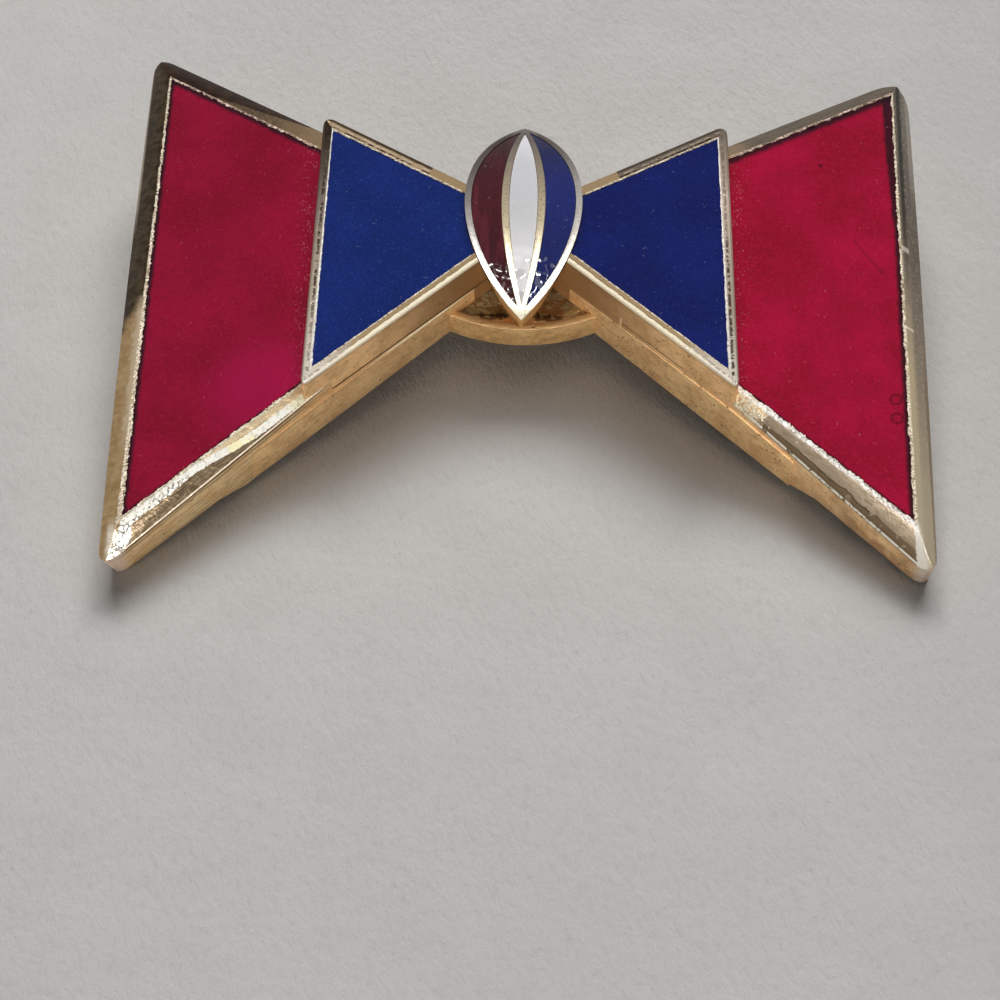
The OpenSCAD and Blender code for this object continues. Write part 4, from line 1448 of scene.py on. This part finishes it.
# %% Paint the pieces
def coat(pieces, material):
    """Gives pieces a material."""
    for piece in pieces:
        piece.data.materials.clear()
        piece.data.materials.append(material)

coat([wings[LEFT]], left_wing_metal())
coat([wings[RIGHT]], right_wing_metal())
for side in (LEFT, RIGHT):
    coat([blocks[side]], block_metal(side))
    coat([skirts[side]], skirt_metal(side))
    coat([reds[side]], red_enamel(side))
coat([hub], hub_metal())
white_lip = lip_metal("white_lip", (1.0, 0.97, 0.93), (0.55, 0.45, 0.36), 110.0, 0.2)
cream = lip_metal("cream_lip", (1.0, 0.9, 0.74), (0.42, 0.31, 0.19), 115.0, 0.55)
dusky = lip_metal("dusky_lip", (0.85, 0.65, 0.55), (0.22, 0.15, 0.11), 120.0, 0.7)
coat([lips[LEFT]["low"]], cream)
coat([lips[RIGHT]["low"]], white_lip)
for side in (LEFT, RIGHT):
    coat([lips[side]["out"], block_lips[side]["low"], block_lips[side]["top"]], cream)
    coat([block_lips[side]["out"]], white_lip)
    coat([lips[side]["top"]], dusky)
coat([setting], knot_metal())
coat([blues[LEFT]], navy_enamel("left_navy_enamel", (0.0035, 0.015, 0.12), (0.005, 0.021, 0.165), 130.0))
coat([blues[RIGHT]], navy_enamel("right_navy_enamel", (0.003, 0.008, 0.092), (0.004, 0.012, 0.125), 133.0))
coat([stripes["maroon_stripe"]],
     knot_enamel("maroon_enamel", (0.04, 0.002, 0.006), (0.06, 0.003, 0.01), 140.0, 0.5))
coat([stripes["navy_stripe"]],
     knot_enamel("knot_navy_enamel", (0.005, 0.012, 0.115), (0.008, 0.018, 0.155), 143.0))
coat([stripes["white_stripe"]], knot_enamel("white_enamel", (0.53, 0.535, 0.565), (0.6, 0.605, 0.635), 146.0,
                                         painted_light_tone=(0.95, 0.95, 0.98)))
coat([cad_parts["pin_back"]], steel_wire())

# %% [markdown]
# The brooch lies on a pale, slightly soft surface, like felt. It is a large plane with short
# fibres drawn as a stretched noise. It is painted a little paler towards the camera and darker at the back
# left and at the right, as painted light and shade.

# %% Floor
def make_floor():
    """The pale surface; it is staged, so it is no part of the brooch."""
    bpy.ops.object.select_all(action="DESELECT")
    bpy.ops.mesh.primitive_plane_add(size=1.6, location=(0, 0.2, 0))
    floor = bpy.context.object
    floor.name = "floor"
    paint = Paint("pale_surface")
    x, y, z = paint.axes()
    cloud = paint.noise(7.0, 4, 0.6)
    fibre = paint.noise(0.45, 5, 0.7, 3.0, paint.vector(x, y * 0.5 + x * 0.2, z))
    # painted light: paler towards the camera
    base = paint.mix(y.step(20.0, -45.0), (0.325, 0.323, 0.32), (0.5, 0.497, 0.49))
    base.cover(cloud.step(0.35, 0.65) * 0.3, (0.44, 0.435, 0.428))
    # painted shade: darker at the back left and at the right
    base.cover(x.step(-10.0, -40.0) * y.step(-25.0, 15.0) * 0.35, (0.28, 0.277, 0.273))
    base.cover(x.step(15.0, 45.0) * 0.35, (0.33, 0.325, 0.32))
    base.cover(fibre.step(0.5, 0.3) * 0.2, (0.34, 0.332, 0.328))
    floor.data.materials.append(paint.set(Base_Color=base, Roughness=0.9,
                                          Normal=paint.bump(fibre + cloud, 0.16)))

make_floor()

# %% [markdown]
# The photograph was taken in a room with a window behind the brooch: the shadows fall
# towards the camera and are soft. What the metal and the enamel mirror is another matter.
# The room over them was dim, apart from one pale patch in front and one at the right, so
# the window lights surfaces here but isn't mirrored, and the cards are mirrored only.
# So is a small bright lamp, which glints in the rippled enamel at the knot's lower end.

# %% Light
def soft_box(name, place, size, power, colour=(1, 1, 1), mirrored=True, lights=True):
    """A lamp that looks at the brooch, for lighting it, for being mirrored, or both."""
    light = bpy.data.lights.new(name, "AREA")
    light.shape = "RECTANGLE"
    light.size, light.size_y = size
    light.energy = power
    light.color = colour
    lamp = bpy.data.objects.new(name, light)
    away = Vector(place).normalized()
    lamp.matrix_world = Matrix.Translation(place) @ away.to_track_quat("Z", "Y").to_matrix().to_4x4()
    lamp.visible_glossy, lamp.visible_diffuse = mirrored, lights
    bpy.context.collection.objects.link(lamp)

soft_box("window_behind", (0.06, 0.8, 0.85), (0.85, 0.5), 16.7, (1, 0.985, 0.965), mirrored=False)
soft_box("ceiling", (0.0, 0.4, 1.2), (0.9, 0.5), 2.9, (1, 0.985, 0.965), mirrored=False)
soft_box("room_fill", (-0.1, -1.05, 0.17), (1.2, 0.28), 6.2, (1, 0.95, 0.9), mirrored=False)
soft_box("card_front", (0.0, -0.53, 0.85), (0.3, 0.85), 2.4, (1, 0.99, 0.97), lights=False)
soft_box("card_right", (0.6, -0.24, 0.94), (0.42, 0.42), 0.9, (1, 0.98, 0.94), lights=False)
soft_box("glint", (-0.02, -0.42, 0.78), (0.2, 0.12), 4.5, (1, 1, 1), lights=False)
world = bpy.data.worlds.new("room")
world.use_nodes = True
world.node_tree.nodes["Background"].inputs[0].default_value = (1, 0.97, 0.93, 1)
world.node_tree.nodes["Background"].inputs[1].default_value = 0.5
world.cycles_visibility.diffuse = False
bpy.context.scene.world = world
bpy.context.scene.view_settings.view_transform = "Standard"
